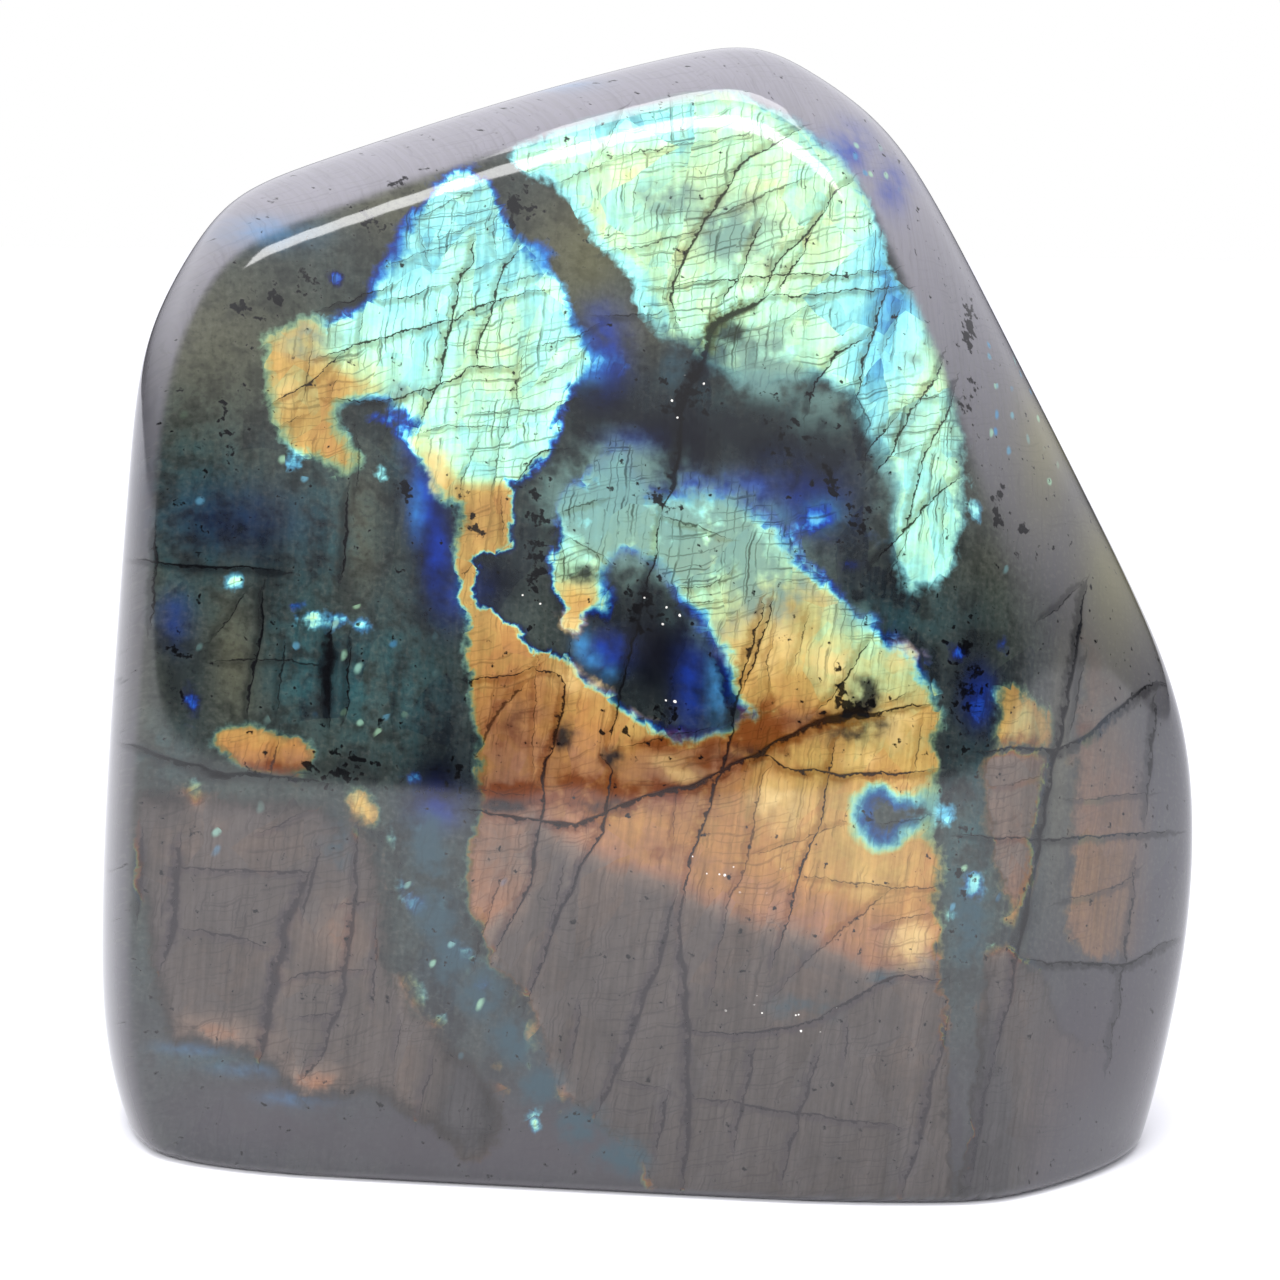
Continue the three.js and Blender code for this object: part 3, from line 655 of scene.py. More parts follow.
# middle of each cloud, its half width and half height in millimetres, and its strength
CLOUDS = {
    "navy": [
        (8, 97, 9, 5, 1.0), (18, 96, 6, 3, 0.9), (-1, 101, 6, 6, 0.9), (11, 107, 1.2, 4, 1.0),
        (-22, 84, 2.5, 14, 1.0), (-14, 79, 4, 3, 0.8), (6, 70, 8, 8, 1.0), (-22, 54, 4, 5, 1.0),
        (44, 68, 3, 8, 0.8), (24, 92, 6, 5, 0.7), (-47, 85, 8, 5, 0.6), (-55, 65, 3, 6, 0.6)],
    "olive": [
        (-50, 108, 14, 10, 1.0), (-26, 126, 12, 7, 1.0), (-6, 120, 6, 8, 1.0), (2, 110, 5, 4, 0.9),
        (52, 96, 8, 16, 1.0), (-31, 85, 2.5, 8, 1.0), (-47.5, 69, 3, 9, 1.0), (-61, 74, 4, 20, 0.8),
        (54.5, 62, 1.5, 18, 1.0), (48, 84, 8, 6, 0.5), (60, 70, 5, 10, 0.9), (-63, 50, 3, 10, 0.7)],
    "teal": [
        (-39, 68, 4, 9, 1.0), (-32, 66, 4, 8, 1.0), (-26, 66, 5, 10, 0.9), (-36, 84, 6, 8, 0.8),
        (-52, 86, 8, 10, 0.8), (18, 103, 8, 5, 0.8), (44, 44, 3, 12, 0.9), (36, 76, 8, 3, 0.5),
        (-58, 56, 4, 4, 0.6), (44, 56, 3, 5, 0.6), (-51, 15.5, 9, 1.4, 0.9), (-40, 9, 6, 1.4, 0.7),
        (-25, 94, 3, 5, 0.6)],
    "mauve": [
        (-10, 6, 70, 10, 1.0), (-45, 8, 22, 8, 1.0), (24, 12, 44, 14, 0.9), (-58, 12, 16, 14, 0.6),
        (58, 22, 14, 12, 0.9)],
    # haze: a milky haze in the stone, and where it lies across the middle, a painted reflection
    "haze": [
        (14, 122, 5, 4, 1.0), (7, 125.5, 4, 2.5, 0.9), (17, 119, 4, 3, 0.7), (19, 106, 5, 5, 0.9),
        (25, 100, 4, 4, 0.6), (35, 98, 4, 8, 0.5), (1, 88, 8, 7, 1.4), (11, 85, 8, 6, 1.3),
        (19, 80, 6, 5, 0.9), (28, 76, 4, 3, 0.5), (-26, 102, 3, 2, 0.7), (36, 107, 3, 4, 0.5),
        (-36, 108, 5, 3, 0.6), (13, 76, 6, 5, 0.5), (35, 92, 4, 6, 0.5)],
    "dim": [
        (17, 99, 6, 3, 0.8), (25, 96, 4, 5, 0.7), (14, 110, 2.4, 2, 0.8), (23.5, 106, 1, 3, 0.5),
        (17, 107, 0.8, 3, 0.4), (-3, 80, 4, 1.2, 0.8), (31, 66, 2, 3, 0.9), (-12, 62, 3, 4, 0.3),
        (29, 62, 6, 2.4, 0.8), (16, 58, 5, 1.6, 0.5), (-14, 50.5, 6, 1.2, 0.7), (0, 51, 5, 1.2, 0.6),
        (34, 82, 5, 3, 0.5), (-6, 60, 1.6, 2, 0.9), (0, 57, 1.8, 1.6, 0.9), (41, 97, 2, 14, 0.3)],
    "soot": [
        (-45, 111.5, 2, 1.2, 1.0), (-41.5, 113, 2.4, 1.2, 1.0), (-37, 115.5, 2, 1, 1.0),
        (-29, 121.5, 1.5, 2, 1.0), (-25, 127, 1.5, 1.5, 0.9), (-11.5, 124, 1.6, 3, 1.0),
        (-9, 123.5, 1.4, 1, 0.9), (-48, 97, 0.9, 4, 0.8), (-54.5, 89, 0.8, 2, 0.8),
        (-51.5, 82, 0.9, 3, 0.8), (-55, 69.5, 1.6, 1.8, 1.0), (-18.5, 89, 1, 1, 1.0),
        (-17.3, 86, 1.2, 1.6, 1.1), (-9.2, 83, 1.4, 9, 1.0), (-25.5, 90.5, 1, 2, 0.9),
        (9, 102, 3, 3, 1.0), (6, 89.5, 1.8, 2, 1.0), (4, 76, 3, 3.5, 0.9), (7.5, 63, 1.4, 2, 1.0),
        (-1, 63.5, 0.6, 0.6, 1.0), (5, 62.5, 0.6, 0.6, 1.1), (2, 61, 0.8, 1.2, 1.0),
        (29, 64.5, 3.5, 1.6, 1.3), (27.5, 67, 1, 2, 0.9), (43, 68, 2.5, 7, 0.9), (46.5, 89, 0.9, 3, 1.0),
        (49, 86.5, 0.7, 1, 1.0), (27, 92, 2, 2, 0.8), (22, 97, 4, 4, 0.5), (30, 88, 2, 3, 0.8),
        (43, 46, 1.2, 10, 0.7), (-34, 55, 5, 2, 1.0), (-46, 53.5, 4, 1, 0.8), (31, 50.5, 1.2, 0.6, 1.0),
        (42.5, 110.5, 1, 3.5, 1.2), (42.5, 103, 1.2, 3, 0.6), (-63, 66, 1.5, 8, 0.5),
        (27, 116, 0.5, 0.4, 1.1), (53.5, 75, 0.6, 0.5, 1.0), (-21, 54, 3, 4, 0.6)],
    "dust": [
        (14, 44, 5, 3, 1.0), (5.5, 75.5, 3, 2, 1.0), (22, 25, 6, 2, 1.0), (27, 36, 2.5, 1.5, 0.9),
        (-10, 77, 3, 2, 0.9), (9.5, 101, 3, 3, 0.9), (8, 66, 2, 3, 0.8), (8.5, 41, 1, 1.5, 0.9)],
    # painted sheen: a yellow highlight along the right-hand edge, and a faint one on the crown
    "sheen": [
        (52, 102, 3, 10, 0.7), (61, 88, 4, 12, 0.75), (-2, 118, 4, 6, 0.3)],
    "slate": [
        (-24, 47, 3.2, 3, 0.9), (-23, 43, 3, 4, 1.0), (-22.5, 37, 3, 5, 1.0), (-21, 30, 3.5, 4, 1.0),
        (-16.5, 26, 4, 3.5, 1.0), (-12.5, 20, 3.4, 4, 1.0), (-9, 14, 3.4, 3, 1.0), (-4, 9, 3.5, 3, 1.0),
        (1, 5.5, 4, 3, 1.0), (-35, 45, 2.2, 4, 0.8), (12.5, 107, 1.6, 3, 0.9), (8, 106, 2, 3, 0.8),
        (24, 26, 5, 2, 0.7), (34, 30.5, 2.5, 1, 0.8), (44, 38, 2.6, 6, 0.9), (-1, 107, 3, 3, 0.2)],
    "rust": [
        (18, 61, 5, 3, 1.1), (-12, 52, 7, 2, 1.1), (-3, 53, 5, 3.4, 1.0), (4, 53, 6, 2.4, 0.9),
        (11, 57, 5, 2, 0.8), (12, 58, 2.4, 4, 0.6), (62, 68, 3, 2, 1.0), (57, 62, 2, 1.6, 0.9),
        (-12, 60, 6, 9, 0.4), (10, 50, 9, 3, 0.3), (7, 59, 5, 1.6, 0.8), (50, 61, 4, 1.2, 0.7),
        (-42, 54, 5, 1.6, 0.9), (5, 46, 5, 2, 0.5), (24, 56.5, 4, 1, 0.5), (18.5, 65, 2.4, 2.4, 0.5)],
    "cream": [
        (9, 55.5, 3, 1.6, 0.8), (-3, 67, 5, 2, 0.7), (5, 63.5, 2.5, 1, 1.0), (19, 72, 5, 4, 0.7),
        (35, 62, 3, 3, 0.9), (27, 70, 3, 3, 0.7), (36, 71, 3, 2, 0.8), (20, 52, 4, 4, 0.6),
        (8, 57, 4, 1.4, 0.7), (37, 35, 3, 4, 0.6), (31, 42, 6, 5, 0.3), (-5, 74, 2, 2, 0.9),
        (-21.5, 93, 1.4, 3, 0.9), (-40, 102, 2, 3, 0.4), (30, 58, 4, 2, 0.5)],
    "royal": [
        (-1, 108, 2.6, 4, 0.9), (16.2, 90.5, 3.4, 2, 1.0), (-24, 96, 1.6, 3, 0.9),
        (-23.4, 89, 1.4, 4.5, 1.0), (-21.6, 82, 1.4, 4.5, 1.0), (10, 66.5, 1.8, 5, 0.55),
        (-0.5, 70.5, 2.4, 2, 0.8), (-22, 50, 3, 2.4, 0.5), (-55, 73, 2, 3, 0.3), (-19, 77, 3, 3, 0.5),
        (28, 131, 2.5, 3, 0.6), (33, 127, 2, 3, 0.5), (2, 96, 3, 1.6, 0.6), (23, 90, 5, 4, 0.4),
        (8, 91, 4, 2, 0.4), (44.5, 66, 1.6, 3, 0.5), (-47, 86, 8, 4, 0.12)],
    "azure": [
        (13, 66.5, 1.1, 4, 0.8), (-3.8, 71.5, 0.9, 1.6, 0.8), (-2.4, 69.3, 1, 1, 0.7),
        (-0.4, 67.8, 1, 0.8, 0.5), (18, 87.5, 2.4, 1.2, 0.8), (25.5, 88, 1.8, 1.5, 0.8),
        (-3.5, 104.5, 2, 1.4, 0.5), (24.5, 131, 2, 1.2, 0.5), (-42, 121, 6, 1.6, 0.3),
        (-8, 139, 5, 1, 0.3), (-24, 88, 0.8, 3, 0.5), (-54, 17, 4, 0.7, 0.26), (-47, 14.4, 4, 0.7, 0.24),
        (-41, 10.8, 4, 0.7, 0.24)],
    "spangles": [
        (-36, 68, 12, 9, 1.0), (49, 108, 6, 16, 1.5), (28, 129, 5, 5, 2.0), (44, 46, 3, 12, 0.9),
        (-21, 32, 6, 16, 0.8), (45, 84, 5, 6, 0.7), (-52, 46, 8, 5, 0.7), (23, 92, 6, 5, 0.7),
        (-38, 92, 5, 6, 0.7), (-52, 90, 6, 8, 0.4)],
}

# the most that a tint covers of what lies under it, where that is not all
MOST = {"olive": 0.8, "teal": 0.9, "mauve": 0.85, "sheen": 0.7, "navy": 0.95, "royal": 0.85, "azure": 0.85}
BACK_FADE = 0.4
CLOUD_GROUPS = {
    "tints": ("navy", "olive", "teal"), "veils": ("mauve", "haze", "dim"),
    # the specks carry the painted sheen along with the soot and dust
    "specks": ("soot", "dust", "sheen"), "glints": ("royal", "azure", "spangles"),
    "stains": ("slate", "rust", "cream"),
}
at_back = 1 - BACK_FADE * to_back
for group, names in CLOUD_GROUPS.items():
    write_attribute(group, *[cloud_field(flat_view, CLOUDS[name]) * MOST.get(name, 1) * at_back
                             for name in names])

# ---------------------------------------------------------------------------------------------
# Polished labradorite: feldspar (IOR 1.56), tumbled and buffed with fine oxide to a wet gloss.
# Most of the colour is inside, under a clear surface, so it stays put and the highlights slide over it.
# The rest is painted light: a sheen, reflections and shade, marked where they are made, and stays put too.
# ---------------------------------------------------------------------------------------------

FELDSPAR_IOR = 1.56
POLISH_ROUGHNESS = 0.07
SMOOTH = {"interpolation_type": "SMOOTHSTEP"}
COLOUR = {"data_type": "RGBA", "out": 2}


def srgb(code):
    """A hex colour as linear light."""
    parts = [int(code[start:start + 2], 16) / 255 for start in (1, 3, 5)]
    return (*[part / 12.92 if part <= 0.04045 else ((part + 0.055) / 1.055) ** 2.4 for part in parts], 1)


labradorite.use_nodes = True
look = labradorite.node_tree
look.nodes.clear()

field = {}
for attribute, names in {"colour_zone": ("depth", "order", "rim width"),
                         "colour_rim": ("rim order", "shown", "fade"), **CLOUD_GROUPS}.items():
    values = add(look, "Attribute", attribute_name=attribute, out="Vector")
    field.update(zip(names, add(look, "SeparateXYZ", values, out=None)))

# patterns run on a plane of millimetres that leans into the stone, so that they carry on round
# its sides: sideways with most of the depth, and upwards with half of it
millimetres = add(look, "VectorMath", add(look, "TexCoord", out="Object"), named={"Scale": 1 / MM},
                  operation="SCALE")
x, y, z = add(look, "SeparateXYZ", millimetres, out=None)
sideways = add(look, "Math", y, 0.8, x, **TIMES_PLUS)
upwards = add(look, "Math", y, 0.5, z, **TIMES_PLUS)
plane = add(look, "CombineXYZ", sideways, upwards)

# cloudy patterns about zero, by the size of their clouds in millimetres
cloud = {}
for size, detail in ((12, 2.0), (5, 3.0), (1.8, 3.0), (0.7, 2.0)):
    pattern = add(look, "TexNoise", plane, None, 1 / size, detail, noise_dimensions="2D")
    cloud[size] = add(look, "Math", pattern, -0.5, **PLUS)
# lamellae seen edge-on: streaks half a millimetre wide and a dozen long, and broader bands
lean = add(look, "Math", upwards, -0.12, sideways, **TIMES_PLUS)
upright = add(look, "CombineXYZ", lean, upwards)
streak = {}
for name, width, length in (("fine", 0.6, 11), ("broad", 3.2, 26)):
    stretched = add(look, "VectorMath", upright, (1 / width, 1 / length, 0.0), **TIMES)
    pattern = add(look, "TexNoise", stretched, None, 1.0, 2.0, noise_dimensions="2D")
    streak[name] = add(look, "Math", pattern, -0.5, **PLUS)

# cleavage runs in two directions that wander a little: across leans to the right going up, and
# along rises going right
LEAN, RISE = 0.20, 0.22
WANDER = (1.5, 4.0, 0.0)
shake = add(look, "CombineXYZ", cloud[5], cloud[12])
shaken = add(look, "VectorMath", shake, WANDER, plane, **TIMES_PLUS)
sideways, upwards, _ = add(look, "SeparateXYZ", shaken, out=None)
across = add(look, "Math", upwards, -LEAN, sideways, **TIMES_PLUS)
along = add(look, "Math", sideways, -RISE, upwards, **TIMES_PLUS)
crossed = add(look, "CombineXYZ", across, along)
# it parts the stone into blocks, and these into chips, each lit a little differently
cells, cell_tint = {}, {}
for name, width, height in (("blocks", 6, 9), ("chips", 1.7, 2.2)):
    cell = add(look, "VectorMath", crossed, (1 / width, 1 / height, 0.0), **TIMES)
    cells[name] = add(look, "TexVoronoi", cell, None, 1.0, out=None, voronoi_dimensions="2D")
    tints = add(look, "VectorMath", cells[name]["Color"], (-0.5, -0.5, -0.5), **PLUS)
    cell_tint[name] = add(look, "SeparateXYZ", tints)

# hairline cracks in both directions, coarse and fine: how far apart, how wide, and how dark.
# They step from block to block, wave a little, and come and go with a cloud
HAIRLINES = [(across, cloud[5], ((5.0, 0.20, 0.85), (1.3, 0.13, 0.60))),
             (along, cloud[12], ((4.0, 0.20, 0.75), (1.5, 0.13, 0.55)))]
STEP_AT_BLOCKS, WAVES = 0.8, 0.6
hairline = 0.0
for measured, gathered, kinds in HAIRLINES:
    wavy = add(look, "Math", cloud[1.8], WAVES, measured, **TIMES_PLUS)
    lines = 0.0
    for spacing, line_width, strength in kinds:
        stepped = add(look, "Math", cell_tint["blocks"], STEP_AT_BLOCKS * spacing, wavy, **TIMES_PLUS)
        gap = add(look, "TexVoronoi", named={"W": stepped, "Scale": 1 / spacing},
                  feature="DISTANCE_TO_EDGE", voronoi_dimensions="1D")
        edge = line_width / spacing
        line = add(look, "MapRange", gap, edge, 0.2 * edge, 0.0, strength, **SMOOTH)
        lines = add(look, "Math", line, lines, **LARGER)
    here = add(look, "MapRange", gathered, -0.13, 0.10, **SMOOTH)
    hairline = add(look, "Math", add(look, "Math", lines, here, **TIMES), hairline, **LARGER)

# the order climbs from the rim of a zone to its middle
depth = field["depth"]
for pattern, strength in ((cloud[5], 2.6), (cloud[1.8], 1.5), (cell_tint["chips"], 0.6), (cloud[0.7], 0.7)):
    depth = add(look, "Math", pattern, strength, depth, **TIMES_PLUS)
share_of_rim = add(look, "Math", depth, field["rim width"], operation="DIVIDE")
zone = add(look, "MapRange", depth, -0.45, field["fade"], **SMOOTH)
zone = add(look, "Math", zone, field["shown"], **TIMES)
full_order = field["order"]
for pattern, strength in ((cell_tint["blocks"], 0.07), (cell_tint["chips"], 0.03), (cloud[12], 0.05),
                          (cloud[1.8], 0.06)):
    full_order = add(look, "Math", pattern, strength, full_order, **TIMES_PLUS)
climb = add(look, "MapRange", share_of_rim, **SMOOTH)
order = add(look, "Mix", climb, None, field["rim order"], full_order)
TOP_ORDER = 1.2
ramp_place = add(look, "Math", order, 1 / TOP_ORDER, **TIMES)
glow = add(look, "ValToRGB", ramp_place, stops=[
    (place / TOP_ORDER, srgb(code)) for place, code in (
        (0.00, "#17181f"), (0.14, "#181f4e"), (0.22, "#24479c"), (0.30, "#4088c4"), (0.37, "#74c4d8"),
        (0.43, "#a4ede6"), (0.50, "#bdebc0"), (0.57, "#c9d094"), (0.65, "#c6a765"), (0.74, "#ae8250"),
        (0.83, "#957059"), (0.92, "#77685e"), (1.02, "#5b5450"), (1.20, "#494748"))])
# lamellae and chips catch the light a little differently, and the rims of warm zones are dim
sparkle = 0.97
for pattern, strength in ((streak["fine"], 0.5), (streak["broad"], 0.5), (cell_tint["chips"], 0.12),
                          (cell_tint["blocks"], 0.24), (cloud[0.7], 0.2), (cloud[5], 0.35)):
    sparkle = add(look, "Math", pattern, strength, sparkle, **TIMES_PLUS)
warm = add(look, "MapRange", full_order, 0.50, 0.62, **SMOOTH)
outer = add(look, "MapRange", share_of_rim, 1.1, 0.1, 0.1, 0.6, **SMOOTH)
undimmed = add(look, "Math", 1.0, add(look, "Math", warm, outer, **TIMES), operation="SUBTRACT")
sparkle = add(look, "Math", sparkle, undimmed, **TIMES)
glow = add(look, "VectorMath", glow, named={"Scale": sparkle}, operation="SCALE")

# uneven stains under the glow: the strength they are full at, how much at most, and the colour
uneven = add(look, "Math", cloud[1.8], 1.4, 1.0, **TIMES_PLUS)
uneven = add(look, "Math", cloud[5], 2.2, uneven, **TIMES_PLUS)
for stain, full_at, most, code in (("cream", 0.9, 0.7, "#e0c689"), ("rust", 0.9, 0.85, "#6b3615")):
    share = add(look, "Math", uneven, field[stain], **TIMES)
    share = add(look, "MapRange", share, 0.1, full_at, 0.0, most, **SMOOTH)
    glow = add(look, "Mix", share, named={6: glow, 7: srgb(code)}, **COLOUR)

# the body between the zones, from its ground colour up: how much of each tint, and the tint
off_face = add(look, "MapRange", field["shown"], 1.0, 0.0, **SMOOTH)
on_face = add(look, "Math", 1.0, off_face, operation="SUBTRACT")
# painted reflection of the light above: the bevels turn paler from 88 to 124 mm up
painted_top_reflection = add(look, "MapRange", z, 88.0, 124.0, 0.0, 0.85)
blocky = add(look, "MapRange", cell_tint["blocks"], -0.5, 0.5)
banded = add(look, "MapRange", streak["broad"], -0.16, 0.16, 0.0, 0.22, **SMOOTH)
streaky = add(look, "MapRange", streak["fine"], -0.12, 0.12, 0.0, 0.10, **SMOOTH)
pale_grain = add(look, "MapRange", cloud[0.7], 0.03, 0.22, 0.0, 0.10, **SMOOTH)
dark_grain = add(look, "MapRange", cloud[0.7], -0.03, -0.22, 0.0, 0.25, **SMOOTH)
mottled = add(look, "Math", cloud[1.8], 0.7, cloud[5], **TIMES_PLUS)
mottled = add(look, "MapRange", mottled, -0.3, 0.35, **SMOOTH)
hollows = add(look, "MapRange", mottled, 0.5, 0.0, 0.0, 0.35, **SMOOTH)
body = add(look, "Mix", blocky, named={6: srgb("#262e33"), 7: srgb("#3f4844")}, **COLOUR)
for share, code in (
        (add(look, "Math", banded, on_face, **TIMES), "#586462"),
        (field["olive"], "#616150"),
        (add(look, "Math", field["teal"], mottled, **TIMES), "#3a6165"),
        (add(look, "Math", off_face, 0.7, **TIMES), "#66646a"),
        # painted reflection: the bevels are paler the higher they are
        (add(look, "Math", off_face, painted_top_reflection, **TIMES), "#96949b"),
        (streaky, "#63635a"),
        (pale_grain, "#8a8a80"),
        (add(look, "Math", hollows, on_face, **TIMES), "#14171b"),
        (add(look, "Math", dark_grain, on_face, **TIMES), "#121316"),
        # painted sheen: the yellow highlight along the right-hand edge
        (field["sheen"], "#928d58"),
        (field["mauve"], "#4f4b50"),
        (field["navy"], "#0c0e1a"),
        (add(look, "Math", field["royal"], uneven, **TIMES), "#1d3f9c"),
        (add(look, "Math", field["azure"], uneven, **TIMES), "#4a94c8")):
    body = add(look, "Mix", share, named={6: body, 7: srgb(code)}, **COLOUR)
surface = add(look, "Mix", zone, named={6: body, 7: glow}, **COLOUR)
# and uneven stains over both; the haze is partly a painted reflection across the middle
for stain, full_at, most, code in (("haze", 0.9, 0.85, "#74928b"), ("dim", 0.9, 0.92, "#22262b"),
                                   ("slate", 1.1, 0.85, "#39525c")):
    share = add(look, "Math", uneven, field[stain], **TIMES)
    share = add(look, "MapRange", share, 0.1, full_at, 0.0, most, **SMOOTH)
    surface = add(look, "Mix", share, named={6: surface, 7: srgb(code)}, **COLOUR)
# loose chips of colour about a millimetre across
_, chip_pick, chip_hue = add(look, "SeparateXYZ", cells["chips"]["Color"], out=None)
spangle = add(look, "Math", field["spangles"], 0.16, chip_pick, **TIMES_PLUS)
spangle = add(look, "MapRange", spangle, 1.01, 1.07)
chip_round = add(look, "MapRange", cells["chips"]["Distance"], 0.36, 0.10, 0.0, 0.7, **SMOOTH)
spangle = add(look, "Math", chip_round, spangle, **TIMES)
chip_colour = add(look, "Mix", chip_hue, named={6: srgb("#2f7fb4"), 7: srgb("#a9cfa6")}, **COLOUR)
surface = add(look, "Mix", spangle, named={6: surface, 7: chip_colour}, **COLOUR)

# what a crack looks like against each order, in its dark line and in its halo of stain and painted shade
in_zone = add(look, "Math", ramp_place, zone, **TIMES)
line_tint, halo_tint = [add(look, "ValToRGB", in_zone, stops=[
    (place / TOP_ORDER, srgb(code)) for place, code in zip((0.0, 0.3, 0.48, 0.62, 0.78, 1.0, 1.2), codes)])
    for codes in (("#0b0c10", "#14222e", "#26321f", "#2f250e", "#2c1509", "#2b2629", "#26242a"),
                  ("#15161a", "#1d3543", "#66774a", "#7d5a24", "#6d3a18", "#413a40", "#38343a"))]

# the drawn cracks wander, and swell and thin. Round each is a halo, partly stain and partly painted
# shade, which lies to the lower side of it, and a wide crack has the darker one
PAINTED_SHADE_SHIFT = 0.35
wander = add(look, "Math", cloud[1.8], 0.7, add(look, "Math", cloud[0.7], 0.5, **TIMES), **TIMES_PLUS)
thickness = add(look, "Math", cloud[0.7], 0.6, cloud[1.8], **TIMES_PLUS)
thickness = add(look, "MapRange", thickness, -0.22, 0.22, 0.25, 1.15)
crack, halo_and_painted_shade = 0.0, 0.0
for number in range(len(crack_sets)):
    drawn = add(look, "Attribute", attribute_name=f"cracks_{number}", out="Vector")
    offset, presence, width = add(look, "SeparateXYZ", drawn, out=None)
    offset = add(look, "Math", offset, wander, **PLUS)
    width = add(look, "Math", width, thickness, **TIMES)
    near = add(look, "Math", add(look, "Math", offset, operation="ABSOLUTE"), width, operation="DIVIDE")
    line = add(look, "MapRange", near, 0.85, 0.2, 0.0, 0.96, **SMOOTH)
    line = add(look, "Math", line, presence, **TIMES)
    reach = add(look, "Math", width, 1.6, 0.5, **TIMES_PLUS)
    beside = add(look, "Math", add(look, "Math", offset, PAINTED_SHADE_SHIFT, **PLUS), operation="ABSOLUTE")
    beside = add(look, "Math", beside, reach, operation="DIVIDE")
    halo_share = add(look, "Math", add(look, "MapRange", beside, 1.0, 0.1, **SMOOTH), presence, **TIMES)
    halo_share = add(look, "Math", halo_share, add(look, "MapRange", width, 0.2, 1.0, 0.5, 0.9), **TIMES)
    crack = add(look, "Math", line, crack, **LARGER)
    halo_and_painted_shade = add(look, "Math", halo_share, halo_and_painted_shade, **LARGER)
# hairlines show best in the zones, and less in the warm ones
net = add(look, "Math", hairline, add(look, "MapRange", zone, 0.0, 1.0, 0.15, 1.0), **TIMES)
net = add(look, "Math", net, add(look, "MapRange", warm, 0.0, 1.0, 0.8, 0.4), **TIMES)
soot = add(look, "Math", field["soot"], 0.30, cloud[1.8], **TIMES_PLUS)
soot = add(look, "Math", cloud[0.7], 0.5, soot, **TIMES_PLUS)
soot = add(look, "MapRange", soot, 0.22, 0.34, 0.0, 0.93, **SMOOTH)
# the halo is stain with painted shade; net, cracks and soot are the stone's own dark marks
for share, tint in ((halo_and_painted_shade, halo_tint), (net, line_tint), (crack, line_tint), (soot, srgb("#0d0d10"))):
    surface = add(look, "Mix", share, named={6: surface, 7: tint}, **COLOUR)

# under the polish every tone is deeper than on a rough face, and the dark ones most
DEEPENING, DIMMING = 1.12, 0.9
surface = add(look, "Gamma", surface, DEEPENING)
surface = add(look, "VectorMath", surface, named={"Scale": DIMMING}, operation="SCALE")

# white polishing dust left in ragged pits about a quarter of a millimetre wide
PIT_SPACING = 1.1
pit_cell = add(look, "VectorMath", plane, (1 / PIT_SPACING, 1 / PIT_SPACING, 0.0), **TIMES)
pits = add(look, "TexVoronoi", pit_cell, None, 1.0, out=None, voronoi_dimensions="2D")
pit_pick = add(look, "SeparateXYZ", pits["Color"], out=1)
pit_pick = add(look, "Math", field["dust"], 0.28, pit_pick, **TIMES_PLUS)
pit_pick = add(look, "MapRange", pit_pick, 1.03, 1.06)
ragged = add(look, "Math", cloud[0.7], 0.3, pits["Distance"], **TIMES_PLUS)
pit = add(look, "Math", add(look, "MapRange", ragged, 0.15, 0.07, **SMOOTH), pit_pick, **TIMES)
surface = add(look, "Mix", pit, named={6: surface, 7: srgb("#e8e4dc")}, **COLOUR)

# hairlines and open cracks take a little off the gloss
roughness = add(look, "Math", net, 0.075, POLISH_ROUGHNESS, **TIMES_PLUS)
roughness = add(look, "Math", crack, 0.083, roughness, **TIMES_PLUS)
polish = add(look, "BsdfPrincipled", surface, named={"Roughness": roughness, "IOR": FELDSPAR_IOR})
add(look, "OutputMaterial", polish, out=None)

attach(stone, "root")
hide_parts("labradorite_stone")

# ---------------------------------------------------------------------------------------------
# The room: a plain white table under soft studio light. The table's near edge is close, and the
# polished face mirrors it as a pale veil over its lower half.
# ---------------------------------------------------------------------------------------------

TABLE_NEAR, TABLE_FAR, TABLE_SIDE = -0.265, 1.4, 1.4

table_mesh = bpy.data.meshes.new("table")
table_mesh.from_pydata([(-TABLE_SIDE, TABLE_NEAR, 0), (TABLE_SIDE, TABLE_NEAR, 0),
                        (TABLE_SIDE, TABLE_FAR, 0), (-TABLE_SIDE, TABLE_FAR, 0)], [], [(0, 1, 2, 3)])
table = bpy.data.objects.new("table", table_mesh)
bpy.context.collection.objects.link(table)
paper = bpy.data.materials.new("white paper")
paper.use_nodes = True
paper.node_tree.nodes.clear()
sheet = add(paper.node_tree, "BsdfPrincipled", srgb("#f4f4f7"), named={"Roughness": 0.9})
add(paper.node_tree, "OutputMaterial", sheet, out=None)
table_mesh.materials.append(paper)

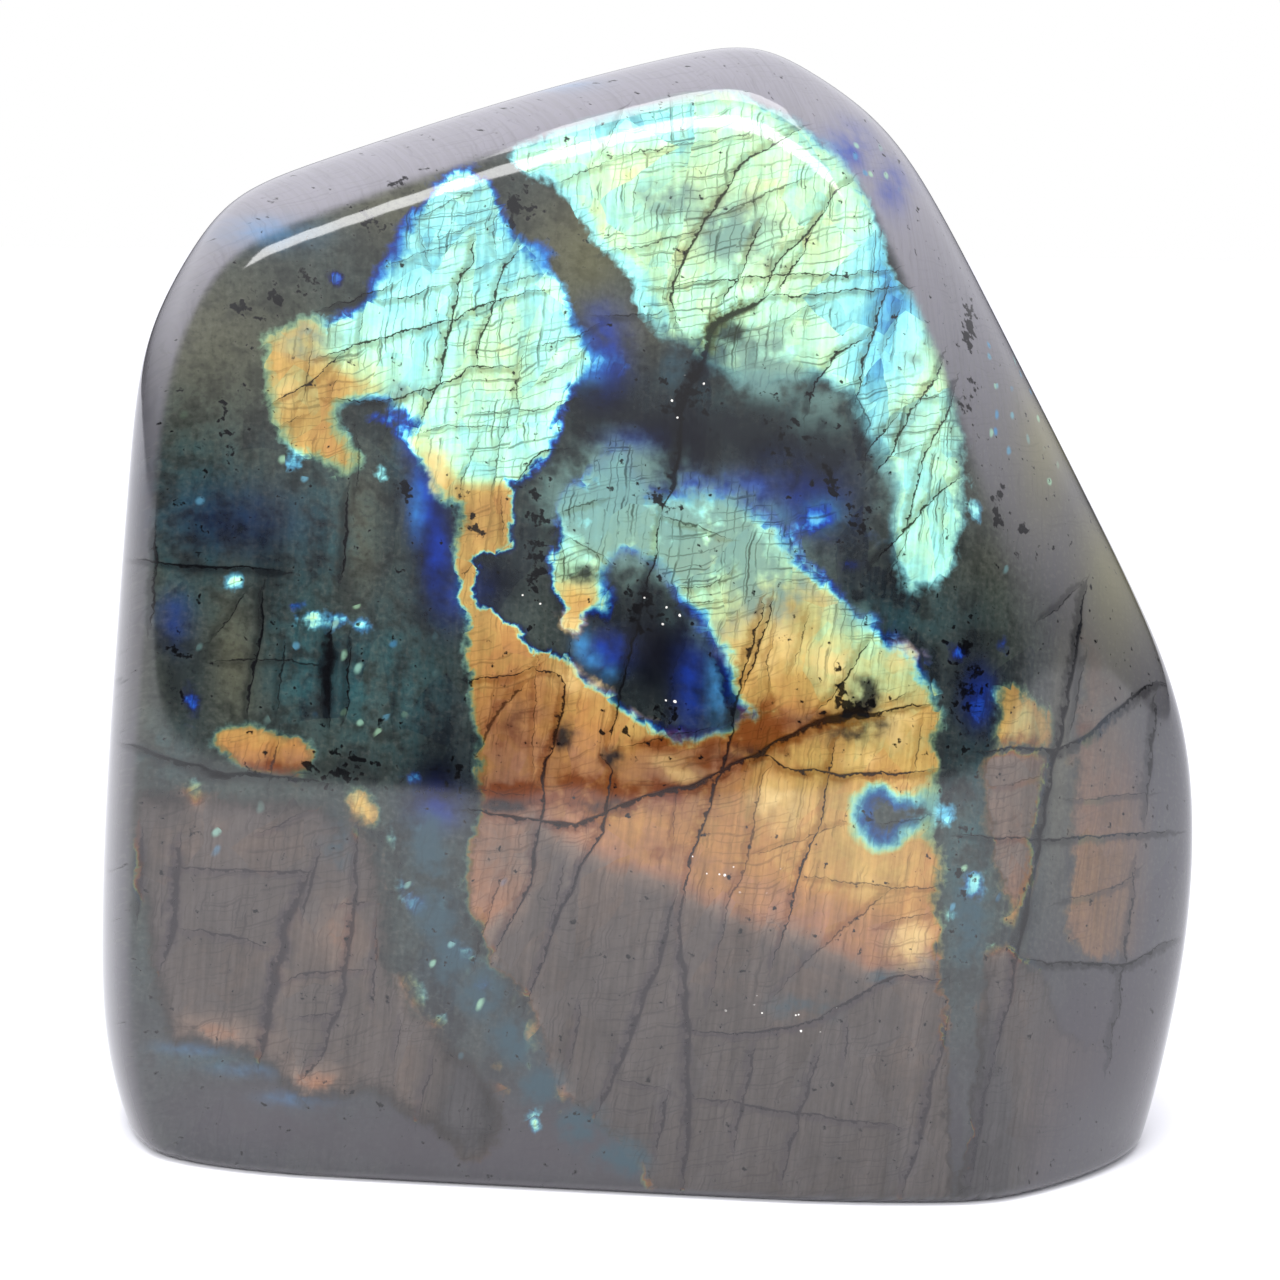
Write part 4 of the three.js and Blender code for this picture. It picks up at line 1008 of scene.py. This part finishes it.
# what it is, where it hangs, its width and depth, and its brightness
SOFTBOXES = [("overhead box", (0, -0.22, 0.75), (0.60, 0.30), 6.5),
             ("front box", (-0.10, -0.62, 0.50), (0.70, 0.13), 11.0)]
AIM = Vector((0, 0, 0.07))
for name, hung, (width, depth_of_box), brightness in SOFTBOXES:
    lamp = bpy.data.lights.new(name, "AREA")
    lamp.shape, lamp.size, lamp.size_y = "RECTANGLE", width, depth_of_box
    lamp.energy = brightness * math.pi * width * depth_of_box
    softbox = bpy.data.objects.new(name, lamp)
    softbox.location = hung
    softbox.rotation_euler = (AIM - Vector(hung)).to_track_quat("-Z", "Y").to_euler()
    bpy.context.collection.objects.link(softbox)

# white to the eye; for light and reflections, dark below the level of the table and pale above
room = bpy.data.worlds.new("studio")
room.use_nodes = True
room.node_tree.nodes.clear()
bpy.context.scene.world = room
up = add(room.node_tree, "SeparateXYZ", add(room.node_tree, "TexCoord", out="Generated"), out="Z")
walls = add(room.node_tree, "ValToRGB", add(room.node_tree, "MapRange", up, -1.0, 1.0), stops=[
    (place, srgb(code)) for place, code in (
        (0.0, "#0c0c0e"), (0.49, "#141416"), (0.53, "#a0a0a6"), (0.6, "#f2f2f8"), (1.0, "#f8f8ff"))])
to_eye = add(room.node_tree, "LightPath", out="Is Camera Ray")
reflected = add(room.node_tree, "Background", walls, 1.2)
seen = add(room.node_tree, "Background", (1, 1, 1, 1), 1.0)
add(room.node_tree, "OutputWorld", add(room.node_tree, "MixShader", to_eye, reflected, seen), out=None)

VIEW_AZIMUTH, VIEW_ELEVATION, VIEW_DISTANCE = math.radians(7.5), math.radians(12), 0.395
VIEW_CENTRE = Vector((0, 0, 0.0665))
towards_eye = Vector((math.sin(VIEW_AZIMUTH) * math.cos(VIEW_ELEVATION),
                      -math.cos(VIEW_AZIMUTH) * math.cos(VIEW_ELEVATION), math.sin(VIEW_ELEVATION)))
lens = bpy.data.cameras.new("camera")
lens.lens, lens.sensor_width, lens.clip_start = 85, 36, 0.01
camera = bpy.data.objects.new("camera", lens)
camera.location = VIEW_CENTRE + towards_eye * VIEW_DISTANCE
camera.rotation_euler = towards_eye.to_track_quat("Z", "Y").to_euler()
bpy.context.collection.objects.link(camera)
bpy.context.scene.camera = camera
bpy.context.scene.view_settings.view_transform = "Standard"
